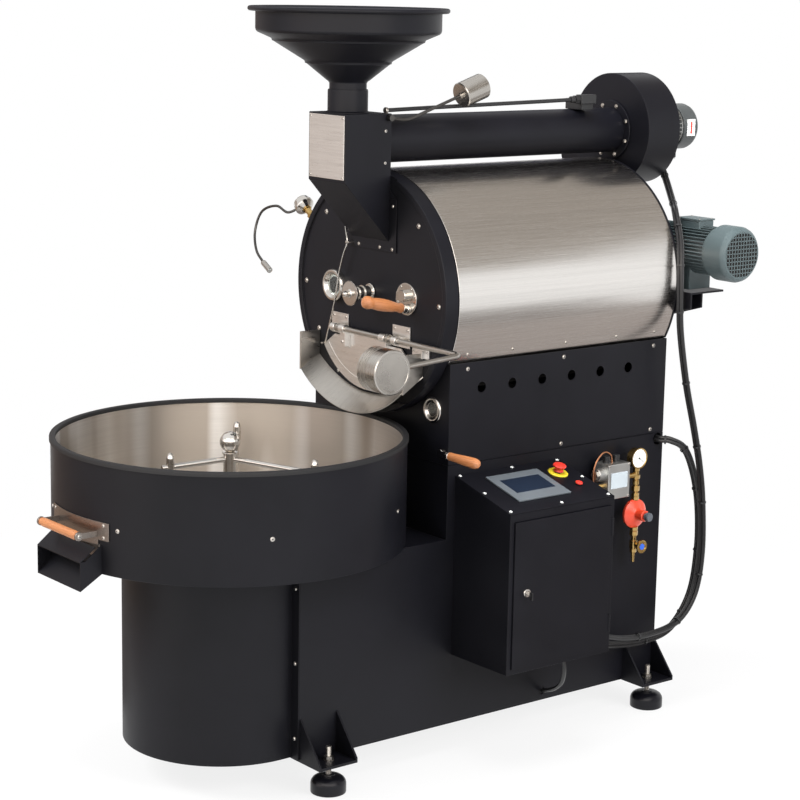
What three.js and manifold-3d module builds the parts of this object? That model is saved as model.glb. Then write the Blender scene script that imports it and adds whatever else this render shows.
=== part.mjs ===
// Shop coffee roaster: roasting drum in a steel jacket, feed hopper, cooling tray with stirrer,
// exhaust fan, gas train and control cabinet on one welded base.
// Millimetres, +Z up. The machine is laid out on the drum's centre line: x = 0 is the middle of
// the body, y = 0 is the front of the drum jacket (the operator stands at -Y), z = 0 is the floor.
import * as THREE from 'three';
import { mergeVertices } from 'three/addons/utils/BufferGeometryUtils.js';
import Module from 'manifold-3d';

const wasm = await Module();
wasm.setup();

// Shared small sizes
const sheet = 3;
const fit = 0.3;
const turning = 0.6;
const overrun = 20;
const fineSides = 30;
const midSides = 16;
const smallSides = 10;
const cornerSides = 8;
const nutSides = 6;
const fittingSides = 12;

// Body housing
const bodyWidth = 640;
const bodyDepth = 859;
const groundGap = 93;
const hemHeight = 1150;
const upperWall = 292;
const shelfDepth = 512;
const ventRadius = 17;
const ventDrop = 75;
const ventMargin = 118;
const ventRearMargin = 161;
const ventCount = 6;
const firePortRadius = 26;
const firePortInset = 73;
const firePortRise = 152;
const wellMargin = 20;
const wellSill = 80;

// Drum, jacket and front plate
const drumRise = 171.6;
const jacketRadius = 355;
const drumGap = 43;
const drumSheet = 5;
const drumStart = 12;
const drumRearGap = 47;
const drumShaftRadius = 22;
const noseShaftRadius = 12;
const noseDiscRadius = 36;
const noseDiscDepth = 5;
const noseConeLength = 24;
const noseConeRadius = 9;
const noseReach = 112;
const drumLipDepth = 34;
const flightCount = 4;
const flightDepth = 46;
const flightSheet = 4;
const spokeWidth = 36;
const endDiscInset = 6;
const faceInset = 2;
const faceRimWidth = 20;
const faceDepth = 41;
const faceRimRise = 6;
const faceSkin = 9;

// Discharge door with its counterweight
const doorRadius = 259;
const doorArcDrop = 30.6;
const doorTopDrop = 126;
const doorTopHalf = 130;
const doorShoulderHalf = 210;
const doorSheet = 6;
const doorStandOff = 4;
const doorOpeningMargin = 24;
const hingeRodRadius = 8;
const hingeRodDrop = 120.6;
const hingeRodReach = 24;
const hingeRodRight = 443;
const rodEndInset = 9;
const hingeBoss = 13;
const hingeArmWidth = 26;
const hingeArmX = 97;
const hingeStrapLength = 52;
const hingeStrapReach = 2.6;
const bracketWidth = 80;
const bracketPlate = 4;
const bracketHeight = 62;
const bracketRise = 41;
const bracketLeftGap = 19;
const bracketRightGap = 32;
const bracketBossWidth = 20;
const bracketWebHalf = 7.8;
const weightRadius = 61;
const weightLength = 81;
const weightReach = 269;
const weightDrop = 15;
const weightEdge = 2;

// Discharge chute under the door
const chuteHalf = 252;
const chuteDepth = 71;
const chuteMouthHalf = 240;
const chuteRearEnd = 214;
const chuteRearLow = 299;
const chuteFrontEnd = 259;
const chuteFrontLow = 348;
const chuteCheekTop = 146;
const chuteCheekHalf = 6;
const chuteSteps = 20;

// Front fittings
const bearingRadius = 18;
const bearingFlangeRadius = 24;
const bearingFlangeDepth = 5;
const bearingRingRadius = 21.5;
const bearingRingDepth = 3;
const bearingRingShares = [0.4, 0.68];
const sightX = 165;
const sightRadius = 48;
const sightDepth = 18;
const sightBore = 30;
const sightLedge = 5;
const sightWallShare = 0.5;
const glassDepth = 3;
const samplerX = 172;
const samplerRadius = 47;
const samplerDepth = 6;
const samplerWallShare = 0.6;
const samplerBossRadius = 17;
const samplerBossReach = 22;
const samplerBossRise = 10;
const trierRadius = 12;
const trierOffset = 11;
const trierDrop = 27.6;
const trierTilt = 12;
const trierInside = 250;
const trierWall = 2;
const trierTip = 20;
const trierMouthEnd = 100;
const trierMouthLift = 9.6;
const trierFerrule = 22;
const trierFerruleRadius = 13.5;
const gripRadius = 16.5;
const gripLength = 140;

// Feed hopper, its neck box and the counterweighted gate
const hopperBeadRadius = 7;
const beadReach = 15;
const bandRadius = 262;
const bandHeight = 67;
const bandRise = 23;
const coneStepRadius = 215;
const coneHighRise = 61;
const coneMidRadius = 122;
const coneLowRise = 59;
const hopperNeckLength = 83;
const neckRadius = 53;
const funnelSkin = 6;
const collarHeight = 65;
const collarWall = 4;
const collarMargin = 14;
const neckBoxWidth = 174;
const neckBoxDepth = 162;
const neckBoxCrown = 9.5;
const neckBoxFront = 191;
const neckBoxToeRise = 150.4;
const neckFlangeHalf = 120;
const neckFlangeRise = 150;
const neckFlangeDrop = 26;
const gateShaftRadius = 5;
const gateShaftDrop = 12;
const gateShaftReach = 11;
const gateHubRadius = 7;
const gateFlapInset = 9;
const gateArmRadius = 4.5;
const gateArmBack = 59;
const gateArmDip = 8;
const gateArmReach = 256;
const gateArmRise = 58;
const gateWeightRadius = 37;
const gateWeightLength = 84;
const gateArmGap = 9;

// Exhaust pipe and fan
const pipeRadius = 68.5;
const pipeGap = 15.9;
const pipeFlangeRadius = 92;
const pipeFlangeDepth = 6;
const fanRadius = 172;
const fanStandOff = 36;
const fanDepth = 135;
const fanRise = 3;
const outletRadius = 55;
const outletReach = 235;
const outletInset = 27;
const outletRootInset = 86;
const impellerGap = 44;
const impellerDepth = 86;
const impellerRearGap = 12;
const impellerEye = 58;
const impellerHubRadius = 21.6;
const impellerHubShare = 0.67;
const bladeCount = 10;
const fanShaftRadius = 9;
const fanMotorRadius = 62;
const fanMotorFlange = 75;
const fanMotorFlangeDepth = 10;
const fanMotorBody = 112;
const fanCowlRadius = 72;
const fanCowlLength = 72;
const fanCowlEndRadius = 59;
const cowlRound = 20;
const terminalWidth = 62;
const terminalHeight = 34;
const terminalInset = 12;
const conduitRadius = 6;
const conduitX = 60;
const conduitRise = 85;
const conduitEndRise = 101;
const conduitRearGap = 205;
const conduitShares = [0, 0.22, 0.55, 0.82, 1];
const glandRadius = 13.2;
const glandLength = 30;
const junctionLength = 62;
const junctionSide = 28;
const saddleInset = 14;

// Drum drive behind the body
const gearboxStandOff = 29;
const gearboxHalf = 88;
const gearboxDepth = 124;
const gearboxDrop = 89.6;
const gearboxCrown = 71;
const gearboxEdge = 26.4;
const gearboxFlangeRadius = 70;
const driveMotorRise = 99.4;
const driveMotorRadius = 66;
const driveFlangeRadius = 80;
const driveFlangeDepth = 12;
const driveBodyLength = 288.7;
const driveCowlRadius = 84;
const driveCowlLength = 137;
const driveCowlEndRadius = 65.5;
const driveFootWidth = 30;
const driveFootHalf = 46;
const driveFootShares = [0.42, 0.86];
const driveFootRootShare = 0.5;
const driveTerminalStart = 105;
const driveTerminalEnd = 12;
const driveTerminalSeat = 40;
const driveTerminalTop = 27;
const shelfPlate = 6;
const bracketShelfDrop = 121;
const bracketShelfStart = 122;
const bracketShelfEnd = 412;
const bracketShelfHalf = 50;
const bracketPlateDepth = 105;
const gussetTipDepth = 48;

// Cooling tray
const trayStandOff = 31.5;
const trayRadius = 496;
const trayHeight = 306;
const trayLift = 14;
const chuteGap = 11.6;
const trayFloorRise = 47;
const linerGap = 4;
const rimTrimWidth = 3.2;
const rimTrimLeg = 12;
const rimTrimTop = 5.5;
const collarInset = 24;
const trayLedge = 24;
const columnStandOff = 36;
const columnInset = 34;
const columnDrop = 3;
const spoutHalf = 115;
const spoutMouthInset = 6;
const spoutMouthHeight = 34;
const spoutReach = 51;
const spoutRoofReach = 36;
const spoutRoofDrop = 40;
const spoutRoofStart = 6;
const spoutRoofStartDrop = 4.8;
const spoutLipDrop = 120;
const spoutHeelDrop = 81;
const spoutFloorStart = 12;
const gatePlateHalf = 144.3;
const gatePlateRise = 12;
const gatePlateHeight = 49;
const gateTongueInset = 9.5;
const gateHandleRise = 15;
const gateHandleReach = 46;
const gateGripRadius = 12.5;
const gateGripHalf = 97;
const gateArmPlate = 6;
const gateArmHeight = 16;

// Stirrer
const stirrerShaftRadius = 12;
const hubRadius = 19;
const hubHeight = 192;
const ballRadius = 29;
const ballRise = 29;
const armCount = 3;
const armStart = 143;
const armRadius = 8;
const armDrop = 20;
const armFall = 10;
const armTail = 25;
const bladeLength = 188;
const bladePitch = 92;
const bladeRimGap = 34;
const bladeFloorGap = 11;
const bladeHeight = 74;
const bladeSheet = 4;
const bladeRootShare = 0.5;
const postRadius = 6;
const acornRadius = 12;
const acornTipRadius = 7;
const acornHeight = 40;
const stirrerMotorFlange = 70;
const stirrerMotorRadius = 52;
const stirrerMotorLength = 250;
const stirrerMotorPlate = 12;
const stirrerSocket = 9;

// Base frame and feet
const frameTube = 40;
const footTabReach = 94;
const footTabLength = 130;
const footTabPlate = 8;
const frontFootMargin = 3;
const rearFootMargin = 7;
const gussetHeight = 118;
const gussetPlate = 6;
const padRadius = 50;
const padHeight = 36;
const padWallShare = 0.55;
const padCrownRadius = 30;
const studRadius = 8;
const studReach = 41;
const nutRadius = 14;
const nutHeight = 11;

// Gas burner inside the body
const burnerRise = 72;
const burnerRadius = 24;
const burnerSpacing = 110;
const burnerFront = 90;
const burnerRearGap = 109;
const burnerRail = 30;

// Control cabinet on the right-hand side
const cabinetFront = 27.5;
const cabinetDrop = 30.3;
const cabinetHeight = 467.2;
const cabinetReach = 242.5;
const panelFall = 64.5;
const panelMargin = 40;
const cabinetSheet = 2;
const doorFrame = 16;
const doorHeadGap = 25.6;
const rebateWidth = 8;
const leafSheet = 2.5;
const leafFold = 5;
const hingePinRadius = 4;
const hingeHeightShares = [0.17, 0.85];
const hingeLength = 50;
const lockRadius = 9;
const lockBarrelRadius = 6.3;
const lockReach = 9;
const lockCap = 3;
const lockInset = 48;
const lockHeightShare = 0.52;
const keyHalf = 5.4;
const camReach = 44;
const screenWidth = 197;
const screenLength = 155;
const screenHeight = 6;
const screenStart = 43;
const screenMargin = 76.5;
const stopRadius = 20;
const stopReach = 28;
const stopStemRadius = 11;
const stopStemDepth = 12;
const stopProfileShares = [[0.8, 0.6], [1, 0.7], [1, 0.9], [0.7, 1]];
const stopNeckShare = 0.45;
const stopRingRadius = 30;
const stopRingHeight = 4;
const stopAlong = 78;
const stopGap = 24;
const startRadius = 11;
const startReach = 9;
const startStemRadius = 7.7;
const startStemDepth = 9;
const startProfileShares = [[1, 0.4], [1, 0.8], [0.7, 1]];
const startAlong = 158;
const startOffset = 11;

// Gas train on the right-hand side
const gasStandOff = 45;
const gasCabinetGap = 280;
const valveDepth = 80;
const valveBoss = 16;
const valveBossInset = 20;
const valveGasGap = 60;
const valveWidth = 89;
const valveDrop = 54;
const valveHeight = 107;
const pilotShares = [0.25, 0.7];
const pilotHeight = 20;
const gaugeDrop = 55;
const gaugeRadius = 32;
const gaugeDepth = 26;
const gaugeBackRadius = 30;
const gaugeBackDepth = 5.2;
const dialRadius = 28;
const dialDepth = 22;
const brassRadius = 9;
const brassNutRadius = 13;
const brassLength = 119;
const brassNutShares = [0.2, 0.6];
const regulatorNeck = 8.7;
const regulatorRadius = 45;
const regulatorDepth = 34;
const regulatorBackRadius = 36;
const regulatorFrontRadius = 31.5;
const regulatorRimShares = [0.3, 0.6];
const bonnetRadius = 17;
const bonnetReach = 30;
const regulatorKnobRadius = 13;
const regulatorKnobNeck = 9;
const regulatorKnobReach = 20;
const regulatorKnobNeckReach = 6;
const cockDrop = 43;
const nippleLength = 55;
const nippleRadius = 4.5;
const handwheelRadius = 20;
const handwheelHubRadius = 9;
const handwheelHubDepth = 2.7;
const handwheelDepth = 9;
const handwheelReach = 30;

// Work lamp on the front plate's rim, its bent tube measured from the drum's axis
const lampAngle = 148;
const lampNeck = 52;
const lampNeckRadius = 10;
const lampFootRadius = 15;
const lampNeckShares = [0.3, 0.7];
const lampBaseRadius = 30;
const lampBaseDepth = 26;
const lampBaseCrownRadius = 21;
const lampBaseShares = [0.5, 0.9];
const gooseneckRootShare = 0.33;
const gooseneckRadius = 4;
const lampHeadRadius = 9;
const lampHeadLength = 52;
const gooseneckPath = [
  [-386, -29.5, 193.4], [-440, -35.5, 208.4], [-505, -43.5, 185.4], [-524, -55.5, 124.4],
  [-490, -73.5, 70.4], [-426, -91.5, 40.4],
];
const lampAim = [-366, -103.5, 18.4];

// Air lever at the body's front corner
const airLeverRise = 35;
const airShaftRadius = 6;
const airShaftInset = 16;
const airShaftInside = 20;
const airBoss = 14;
const airArmReach = 24;
const airGripLength = 128;
const airGripRadius = 15;
const airPlate = 5;

// Leads that the machine holds between its housings
const fanLeadRadius = 11;
const fanLeadPath = [
  [30, 1100, 1666], [31, 1099, 1640], [110, 1048, 1590], [215, 968, 1546], [298, 894, 1530],
  [352, 864, 1450], [374, 848, 1380], [382, 844, 1290], [384, 850, 1180], [394, 874, 1020],
  [404, 906, 880], [410, 932, 760], [412, 950, 640], [412, 958, 480], [410, 936, 350],
  [408, 868, 272], [406, 760, 250], [404, 640, 256], [402, 520, 290], [400, 460, 318],
  [400, 416, 322],
];
const burnerLeadRadius = 13;
const burnerLeadPath = [
  [314, 836, 838], [336, 836, 838], [356, 856, 836], [374, 900, 808], [382, 936, 730], [384, 962, 620],
  [384, 968, 480], [382, 944, 340], [378, 868, 244], [374, 760, 220], [370, 640, 228],
  [366, 520, 262], [362, 452, 320], [362, 416, 320],
];
const cabinetLeadRadius = 7;
const cabinetLeadPath = [
  [470, 330, 295.6], [470, 330, 272], [462, 345, 226], [430, 366, 176], [386, 380, 142],
  [340, 386, 122], [322, 387, 116],
];
const leadHoleGap = 6;

// Levels and places that several pieces share
const bodyHalf = bodyWidth / 2;
const seamHeight = hemHeight - upperWall;
const drumAxis = hemHeight + drumRise;
const drumRadius = jacketRadius - drumGap;
const drumLength = bodyDepth - drumStart - drumRearGap;
const faceRadius = jacketRadius - faceInset;
const faceDiscRadius = faceRadius - faceRimWidth;
const faceFront = -faceDepth;
const rimFront = faceFront - faceRimRise;
const trayRim = drumAxis - chuteFrontLow - chuteGap;
const trayBottom = trayRim - trayHeight;
const trayFloor = trayBottom + trayFloorRise;
const trayY = -trayRadius - trayStandOff;
const shelfHeight = trayBottom - trayLift;
const columnRadius = bodyHalf - columnInset;
const columnY = -shelfDepth - columnStandOff;
const trayCollarRadius = columnRadius - collarInset;
const rodY = faceFront - hingeRodReach;
const rodZ = drumAxis - hingeRodDrop;
const bracketLeftX = hingeArmX + hingeArmWidth / 2 + bracketLeftGap + bracketBossWidth / 2;
const bracketRightX = hingeArmX + hingeArmWidth / 2 + bracketRightGap + bracketBossWidth / 2;
const pipeHeight = drumAxis + jacketRadius + pipeGap + pipeRadius;
const neckBoxHalf = neckBoxWidth / 2;
const neckBoxTop = pipeHeight + pipeRadius + neckBoxCrown;
const neckBoxChin = neckBoxTop - neckBoxFront;
const neckBoxToe = drumAxis + neckBoxToeRise;
const collarRadius = neckRadius + fit + collarWall;
const hopperY = faceFront - fit - neckBoxDepth + collarMargin + collarRadius;
const fanFront = bodyDepth + fanStandOff;
const fanRear = fanFront + fanDepth;
const fanHeight = pipeHeight + fanRise;
const driveY = bodyDepth + gearboxStandOff + gearboxDepth / 2;
const driveMotorHeight = drumAxis + driveMotorRise;
const bracketShelfTop = driveMotorHeight - bracketShelfDrop;
const airLeverHeight = seamHeight + airLeverRise;
const frontFootY = -shelfDepth + frontFootMargin + footTabLength / 2;
const rearFootY = bodyDepth - rearFootMargin - footTabLength / 2;
const cabinetTopWall = seamHeight - cabinetDrop;
const cabinetTopFront = cabinetTopWall - panelFall;
const cabinetBottom = cabinetTopFront - cabinetHeight;
const screenY = cabinetFront + screenMargin;
const stopY = screenY + screenWidth + stopGap + stopRingRadius;
const startY = stopY + startOffset;
const cabinetBack = stopY + stopRingRadius + panelMargin;
const gasX = bodyHalf + gasStandOff;
const gasY = cabinetBack + gasCabinetGap;

// Paint and metal of each piece
const finish = (color, roughness, metalness) => new THREE.MeshStandardMaterial({
  color, roughness, metalness,
});
const blackPaint = finish(0x17181b, 0.55, 0.1);
const brushedSteel = finish(0xb9b4ac, 0.3, 1);
const polishedSteel = finish(0xcfccc6, 0.2, 1);
const blackRubber = finish(0x0d0d0e, 0.8, 0);
const turnedWood = finish(0xb8703a, 0.5, 0);
const greyCasting = finish(0x6f7f80, 0.5, 0.3);
const silverCasting = finish(0x9a9d9c, 0.45, 0.6);
const brassMetal = finish(0xb58a4a, 0.35, 1);
const redPaint = finish(0xd8321e, 0.4, 0.1);
const clearGlass = finish(0xbfd0cc, 0.05, 0);
const screenPlastic = finish(0x4e5357, 0.45, 0);
const castIron = finish(0x3a3836, 0.7, 0.8);

// Solids

function toSolid(geometry) {
  const bare = new THREE.BufferGeometry();
  bare.setAttribute('position', geometry.getAttribute('position').clone());
  if (geometry.index) bare.setIndex(geometry.index.clone());
  const merged = mergeVertices(bare, 1e-4);
  const position = merged.getAttribute('position').array;
  const index = merged.index.array;
  const kept = [];
  let volume = 0;
  const corner = (k) => new THREE.Vector3(position[3 * k], position[3 * k + 1], position[3 * k + 2]);
  for (let i = 0; i < index.length; i += 3) {
    const [a, b, c] = [index[i], index[i + 1], index[i + 2]];
    if (a === b || b === c || a === c) continue;
    kept.push([a, b, c]);
    volume += corner(a).dot(corner(b).cross(corner(c)));
  }
  const facing = volume < 0 ? kept.map(([a, b, c]) => [a, c, b]) : kept;
  return new wasm.Manifold(new wasm.Mesh({
    numProp: 3,
    vertProperties: new Float32Array(position),
    triVerts: new Uint32Array(facing.flat()),
  }));
}

function toGeometry(manifold) {
  const mesh = manifold.getMesh();
  const geometry = new THREE.BufferGeometry();
  geometry.setAttribute('position', new THREE.BufferAttribute(new Float32Array(mesh.vertProperties), 3));
  geometry.setIndex(new THREE.BufferAttribute(new Uint32Array(mesh.triVerts), 1));
  return geometry;
}

const join = (...solids) => solids.reduce((whole, next) => whole.add(next));
const cut = (body, ...tools) => tools.reduce((whole, next) => whole.subtract(next), body);

function box(x0, x1, y0, y1, z0, z1) {
  const geometry = new THREE.BoxGeometry(x1 - x0, y1 - y0, z1 - z0);
  return toSolid(geometry.translate((x0 + x1) / 2, (y0 + y1) / 2, (z0 + z1) / 2));
}

// Rotations that take a shape drawn along +Y or +Z onto another axis
const axisFrame = {
  x: new THREE.Matrix4().set(0, 0, 1, 0, 1, 0, 0, 0, 0, 1, 0, 0, 0, 0, 0, 1),
  y: new THREE.Matrix4().set(1, 0, 0, 0, 0, 0, 1, 0, 0, 1, 0, 0, 0, 0, 0, 1),
  z: new THREE.Matrix4(),
};

// A flat outline pushed along an axis: points are (y, z) for x, (x, z) for y and (x, y) for z
function prism(points, axis, from, to) {
  const outline = new THREE.Shape(points.map(([u, v]) => new THREE.Vector2(u, v)));
  const geometry = new THREE.ExtrudeGeometry(outline, { depth: to - from, bevelEnabled: false });
  geometry.translate(0, 0, from);
  return toSolid(geometry.applyMatrix4(axisFrame[axis]));
}

function arcPoints(cx, cy, radius, fromDeg, toDeg, steps) {
  return Array.from({ length: steps + 1 }, (_, i) => {
    const angle = THREE.MathUtils.degToRad(fromDeg + ((toDeg - fromDeg) * i) / steps);
    return [cx + radius * Math.cos(angle), cy + radius * Math.sin(angle)];
  });
}

// A round bar, or a taper, between two points
function bar(from, to, radius, sides = smallSides, endRadius = radius) {
  const start = new THREE.Vector3(...from);
  const run = new THREE.Vector3(...to).sub(start);
  const geometry = new THREE.CylinderGeometry(endRadius, radius, run.length(), sides);
  geometry.translate(0, run.length() / 2, 0);
  const turn = new THREE.Quaternion().setFromUnitVectors(new THREE.Vector3(0, 1, 0), run.clone().normalize());
  geometry.applyQuaternion(turn);
  return toSolid(geometry.translate(start.x, start.y, start.z));
}

// A profile of [radius, height] points turned round an axis that starts at the origin given
function turned(profile, origin, direction, sides = fineSides) {
  const points = profile.map(([r, h]) => new THREE.Vector2(r, h));
  const geometry = new THREE.LatheGeometry(points, sides);
  const axis = new THREE.Vector3(...direction).normalize();
  geometry.applyQuaternion(new THREE.Quaternion().setFromUnitVectors(new THREE.Vector3(0, 1, 0), axis));
  return toSolid(geometry.translate(...origin));
}

// A closed ring section: repeats the first point to close the profile
const closedRing = (profile) => [...profile, profile[0]];

const ring = (inner, outer, low, high) => closedRing([
  [inner, low], [outer, low], [outer, high], [inner, high],
]);

function ball(centre, radius, sides = smallSides) {
  return toSolid(new THREE.SphereGeometry(radius, sides, sides / 2).translate(...centre));
}

// Round bars from corner to corner, with round corners
function bentBar(points, radius, sides = smallSides) {
  const runs = points.slice(1).map((point, i) => bar(points[i], point, radius, sides));
  const corners = points.slice(1, -1).map((point) => ball(point, radius, cornerSides));
  return join(...runs, ...corners);
}

// A lead: a tube of eight sides along a smooth line through its points
function lead(points, radius, steps) {
  const curve = new THREE.CatmullRomCurve3(points.map((point) => new THREE.Vector3(...point)));
  const outline = arcPoints(0, 0, radius, 0, 315, 7);
  const section = new THREE.Shape(outline.map(([u, v]) => new THREE.Vector2(u, v)));
  return toSolid(new THREE.ExtrudeGeometry(section, { steps, bevelEnabled: false, extrudePath: curve }));
}

const roaster = new THREE.Group();

function add(name, manifold, material) {
  const mesh = new THREE.Mesh(toGeometry(manifold), material);
  mesh.name = name;
  roaster.add(mesh);
}

const forward = [0, -1, 0];
const upward = [0, 0, 1];
const outward = [1, 0, 0];

// Base frame with four welded foot tabs, and the screw feet

function footTab(side, centreY) {
  const inner = side * (bodyHalf - frameTube);
  const outer = side * (bodyHalf + footTabReach);
  const [x0, x1] = side > 0 ? [inner, outer] : [outer, inner];
  const from = centreY - footTabLength / 2;
  const to = centreY + footTabLength / 2;
  const top = groundGap - fit;
  const plate = box(x0, x1, from, to, top - footTabPlate, top);
  const foot = side * (bodyHalf + fit);
  const web = [[foot, top - footTabPlate], [outer, top - footTabPlate], [outer, top + gussetPlate],
    [foot, top + gussetHeight]];
  const near = prism(web, 'y', from, from + gussetPlate);
  const far = prism(web, 'y', to - gussetPlate, to);
  const stud = [side * (bodyHalf + footTabReach / 2), centreY];
  const hole = bar([...stud, top - overrun], [...stud, top + overrun], studRadius + fit);
  return cut(join(plate, near, far), hole);
}

function baseFrame() {
  const half = bodyHalf - sheet - fit;
  const front = -shelfDepth + sheet + fit;
  const back = bodyDepth - sheet - fit;
  const low = groundGap - fit - footTabPlate;
  const high = groundGap + frameTube;
  const outer = box(-half, half, front, back, low, high);
  const inner = box(-half + frameTube, half - frameTube, front + frameTube, back - frameTube,
    low - overrun, high + overrun);
  const tabs = [1, -1].flatMap((side) => [frontFootY, rearFootY].map((y) => footTab(side, y)));
  return join(cut(outer, inner), ...tabs);
}
add('base_frame', baseFrame(), blackPaint);

function levellingFoot(side, centreY) {
  const tabTop = groundGap - fit;
  const tabBottom = tabTop - footTabPlate;
  const centre = [side * (bodyHalf + footTabReach / 2), centreY, 0];
  const studTop = groundGap + studReach;
  const profile = [
    [0, 0], [padRadius, 0], [padRadius, padHeight * padWallShare], [padCrownRadius, padHeight],
    [studRadius, padHeight],
    [studRadius, tabBottom - fit - nutHeight], [nutRadius, tabBottom - fit - nutHeight],
    [nutRadius, tabBottom - fit], [studRadius, tabBottom - fit], [studRadius, tabTop + fit],
    [nutRadius, tabTop + fit], [nutRadius, tabTop + fit + nutHeight], [studRadius, tabTop + fit + nutHeight],
    [studRadius, studTop], [0, studTop],
  ];
  return turned(profile, centre, upward, smallSides);
}
const footNames = { right: 1, left: -1 };
for (const [sideName, side] of Object.entries(footNames)) {
  add(`front_${sideName}_foot`, levellingFoot(side, frontFootY), blackPaint);
  add(`rear_${sideName}_foot`, levellingFoot(side, rearFootY), blackPaint);
}

// Lower housing: an L of folded sheet, open below and open above its rear half

const lowerOutline = (inset, bottom, top) => [
  [-shelfDepth + inset, bottom], [bodyDepth - inset, bottom], [bodyDepth - inset, top],
  [inset, top], [inset, shelfHeight - inset], [-shelfDepth + inset, shelfHeight - inset],
];

function baseHousing() {
  const top = seamHeight - fit / 2;
  const outer = prism(lowerOutline(0, groundGap, top), 'x', -bodyHalf, bodyHalf);
  const inner = prism(lowerOutline(sheet, groundGap - overrun, top + overrun), 'x',
    -bodyHalf + sheet, bodyHalf - sheet);
  const doorway = box(-columnRadius + frameTube, columnRadius - frameTube, -shelfDepth - overrun,
    -shelfDepth + overrun, groundGap + frameTube, shelfHeight - frameTube);
  const wellHalf = stirrerMotorFlange + wellMargin;
  const motorWell = box(-wellHalf, wellHalf, -shelfDepth - overrun, trayY + wellHalf,
    shelfHeight - wellSill, shelfHeight + overrun);
  const leadHole = ([, y, z], radius) => bar([bodyHalf - overrun, y, z], [bodyHalf + overrun, y, z],
    radius + leadHoleGap);
  const cabinetLeadEnd = cabinetLeadPath[cabinetLeadPath.length - 1];
  const leadHoles = [leadHole(cabinetLeadEnd, cabinetLeadRadius), leadHole(burnerLeadPath[0], burnerLeadRadius)];
  return cut(outer, inner, doorway, motorWell, ...leadHoles);
}
add('base_housing', baseHousing(), blackPaint);

// Upper housing: side walls with vents, front wall with the fire port, rear wall with the drum's end disc

function upperHousing() {
  const low = seamHeight + fit / 2;
  const outer = box(-bodyHalf, bodyHalf, 0, bodyDepth, low, hemHeight);
  const inner = box(-bodyHalf + sheet, bodyHalf - sheet, sheet, bodyDepth - sheet,
    low - overrun, hemHeight + overrun);
  const discRadius = jacketRadius - endDiscInset;
  const endDisc = turned([[0, 0], [discRadius, 0], [discRadius, sheet], [0, sheet]],
    [0, bodyDepth, drumAxis], forward);
  const drumWindow = bar([0, -overrun, drumAxis], [0, overrun, drumAxis], drumRadius - drumSheet, fineSides);
  const ventHeight = hemHeight - ventDrop;
  const ventPitch = (bodyDepth - ventMargin - ventRearMargin) / (ventCount - 1);
  const vents = Array.from({ length: ventCount }, (_, i) => {
    const y = ventMargin + i * ventPitch;
    const side = bodyHalf + overrun;
    return bar([-side, y, ventHeight], [side, y, ventHeight], ventRadius, cornerSides);
  });
  const firePortX = bodyHalf - firePortInset;
  const firePortHeight = seamHeight + firePortRise;
  const firePort = bar([firePortX, -overrun, firePortHeight], [firePortX, overrun, firePortHeight],
    firePortRadius);
  const shaftHole = bar([0, bodyDepth - overrun, drumAxis], [0, bodyDepth + overrun, drumAxis],
    drumShaftRadius + turning, midSides);
  const airHole = bar([bodyHalf - airShaftInset, -overrun, airLeverHeight],
    [bodyHalf - airShaftInset, overrun, airLeverHeight], airShaftRadius + fit);
  return cut(join(cut(outer, inner), endDisc), drumWindow, ...vents, firePort, shaftHole, airHole);
}
add('upper_housing', upperHousing(), blackPaint);

// Half-round cover of the cooling fan, bolted to the lower housing's front

function columnCover() {
  const wall = -shelfDepth - fit;
  const lip = wall - sheet;
  const outer = arcPoints(0, columnY, columnRadius, 0, -180, midSides);
  const inner = arcPoints(0, columnY, columnRadius - sheet, -180, 0, midSides);
  const outline = [
    [bodyHalf, wall], [bodyHalf, lip], [columnRadius, lip], ...outer, [-columnRadius, lip],
    [-bodyHalf, lip], [-bodyHalf, wall], [-columnRadius + sheet, wall], ...inner, [columnRadius - sheet, wall],
  ];
  return prism(outline, 'z', groundGap - columnDrop, trayBottom - fit);
}
add('column_cover', columnCover(), blackPaint);

// Burner: three tubes on a rail that crosses the body

function burner() {
  const burnerHeight = seamHeight + burnerRise;
  const burnerLength = bodyDepth - burnerFront - burnerRearGap;
  const rails = [burnerFront, burnerFront + burnerLength].map((y) => box(-bodyHalf + sheet + fit,
    bodyHalf - sheet - fit, y - burnerRail / 2, y + burnerRail / 2, burnerHeight - burnerRail, burnerHeight));
  const tubes = [-1, 0, 1].map((i) => bar([i * burnerSpacing, burnerFront, burnerHeight],
    [i * burnerSpacing, burnerFront + burnerLength, burnerHeight], burnerRadius));
  return join(...rails, ...tubes);
}
add('burner', burner(), castIron);

// Drum jacket

function drumJacket() {
  const angle = THREE.MathUtils.radToDeg(Math.asin((hemHeight + fit - drumAxis) / jacketRadius));
  const outer = arcPoints(0, drumAxis, jacketRadius, angle, 180 - angle, fineSides);
  const inner = arcPoints(0, drumAxis, jacketRadius - sheet, 180 - angle, angle, fineSides);
  return prism([...outer, ...inner], 'y', 0, bodyDepth);
}
add('drum_jacket', drumJacket(), brushedSteel);

// Door outline, grown outward by a margin

function doorOutline(margin) {
  const centre = drumAxis - doorArcDrop;
  const radius = doorRadius + margin;
  const half = doorShoulderHalf + margin;
  const shoulder = centre - Math.sqrt(radius ** 2 - half ** 2);
  const angle = THREE.MathUtils.radToDeg(Math.atan2(shoulder - centre, half));
  const top = drumAxis - doorTopDrop + margin;
  return [[-doorTopHalf - margin, top], ...arcPoints(0, centre, radius, -180 - angle, angle, midSides),
    [doorTopHalf + margin, top]];
}

// Direction of the sampler's tube: out of the front plate and up
const tilt = THREE.MathUtils.degToRad(trierTilt);
const trierDirection = [0, -Math.cos(tilt), Math.sin(tilt)];
const trierSeat = [samplerX + trierOffset, faceFront - samplerDepth - fit, drumAxis - trierDrop];
const ferruleStart = trierFerruleRadius * Math.tan(tilt) + fit;
const alongTrier = (distance) => trierSeat.map((c, i) => c + distance * trierDirection[i]);

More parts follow.
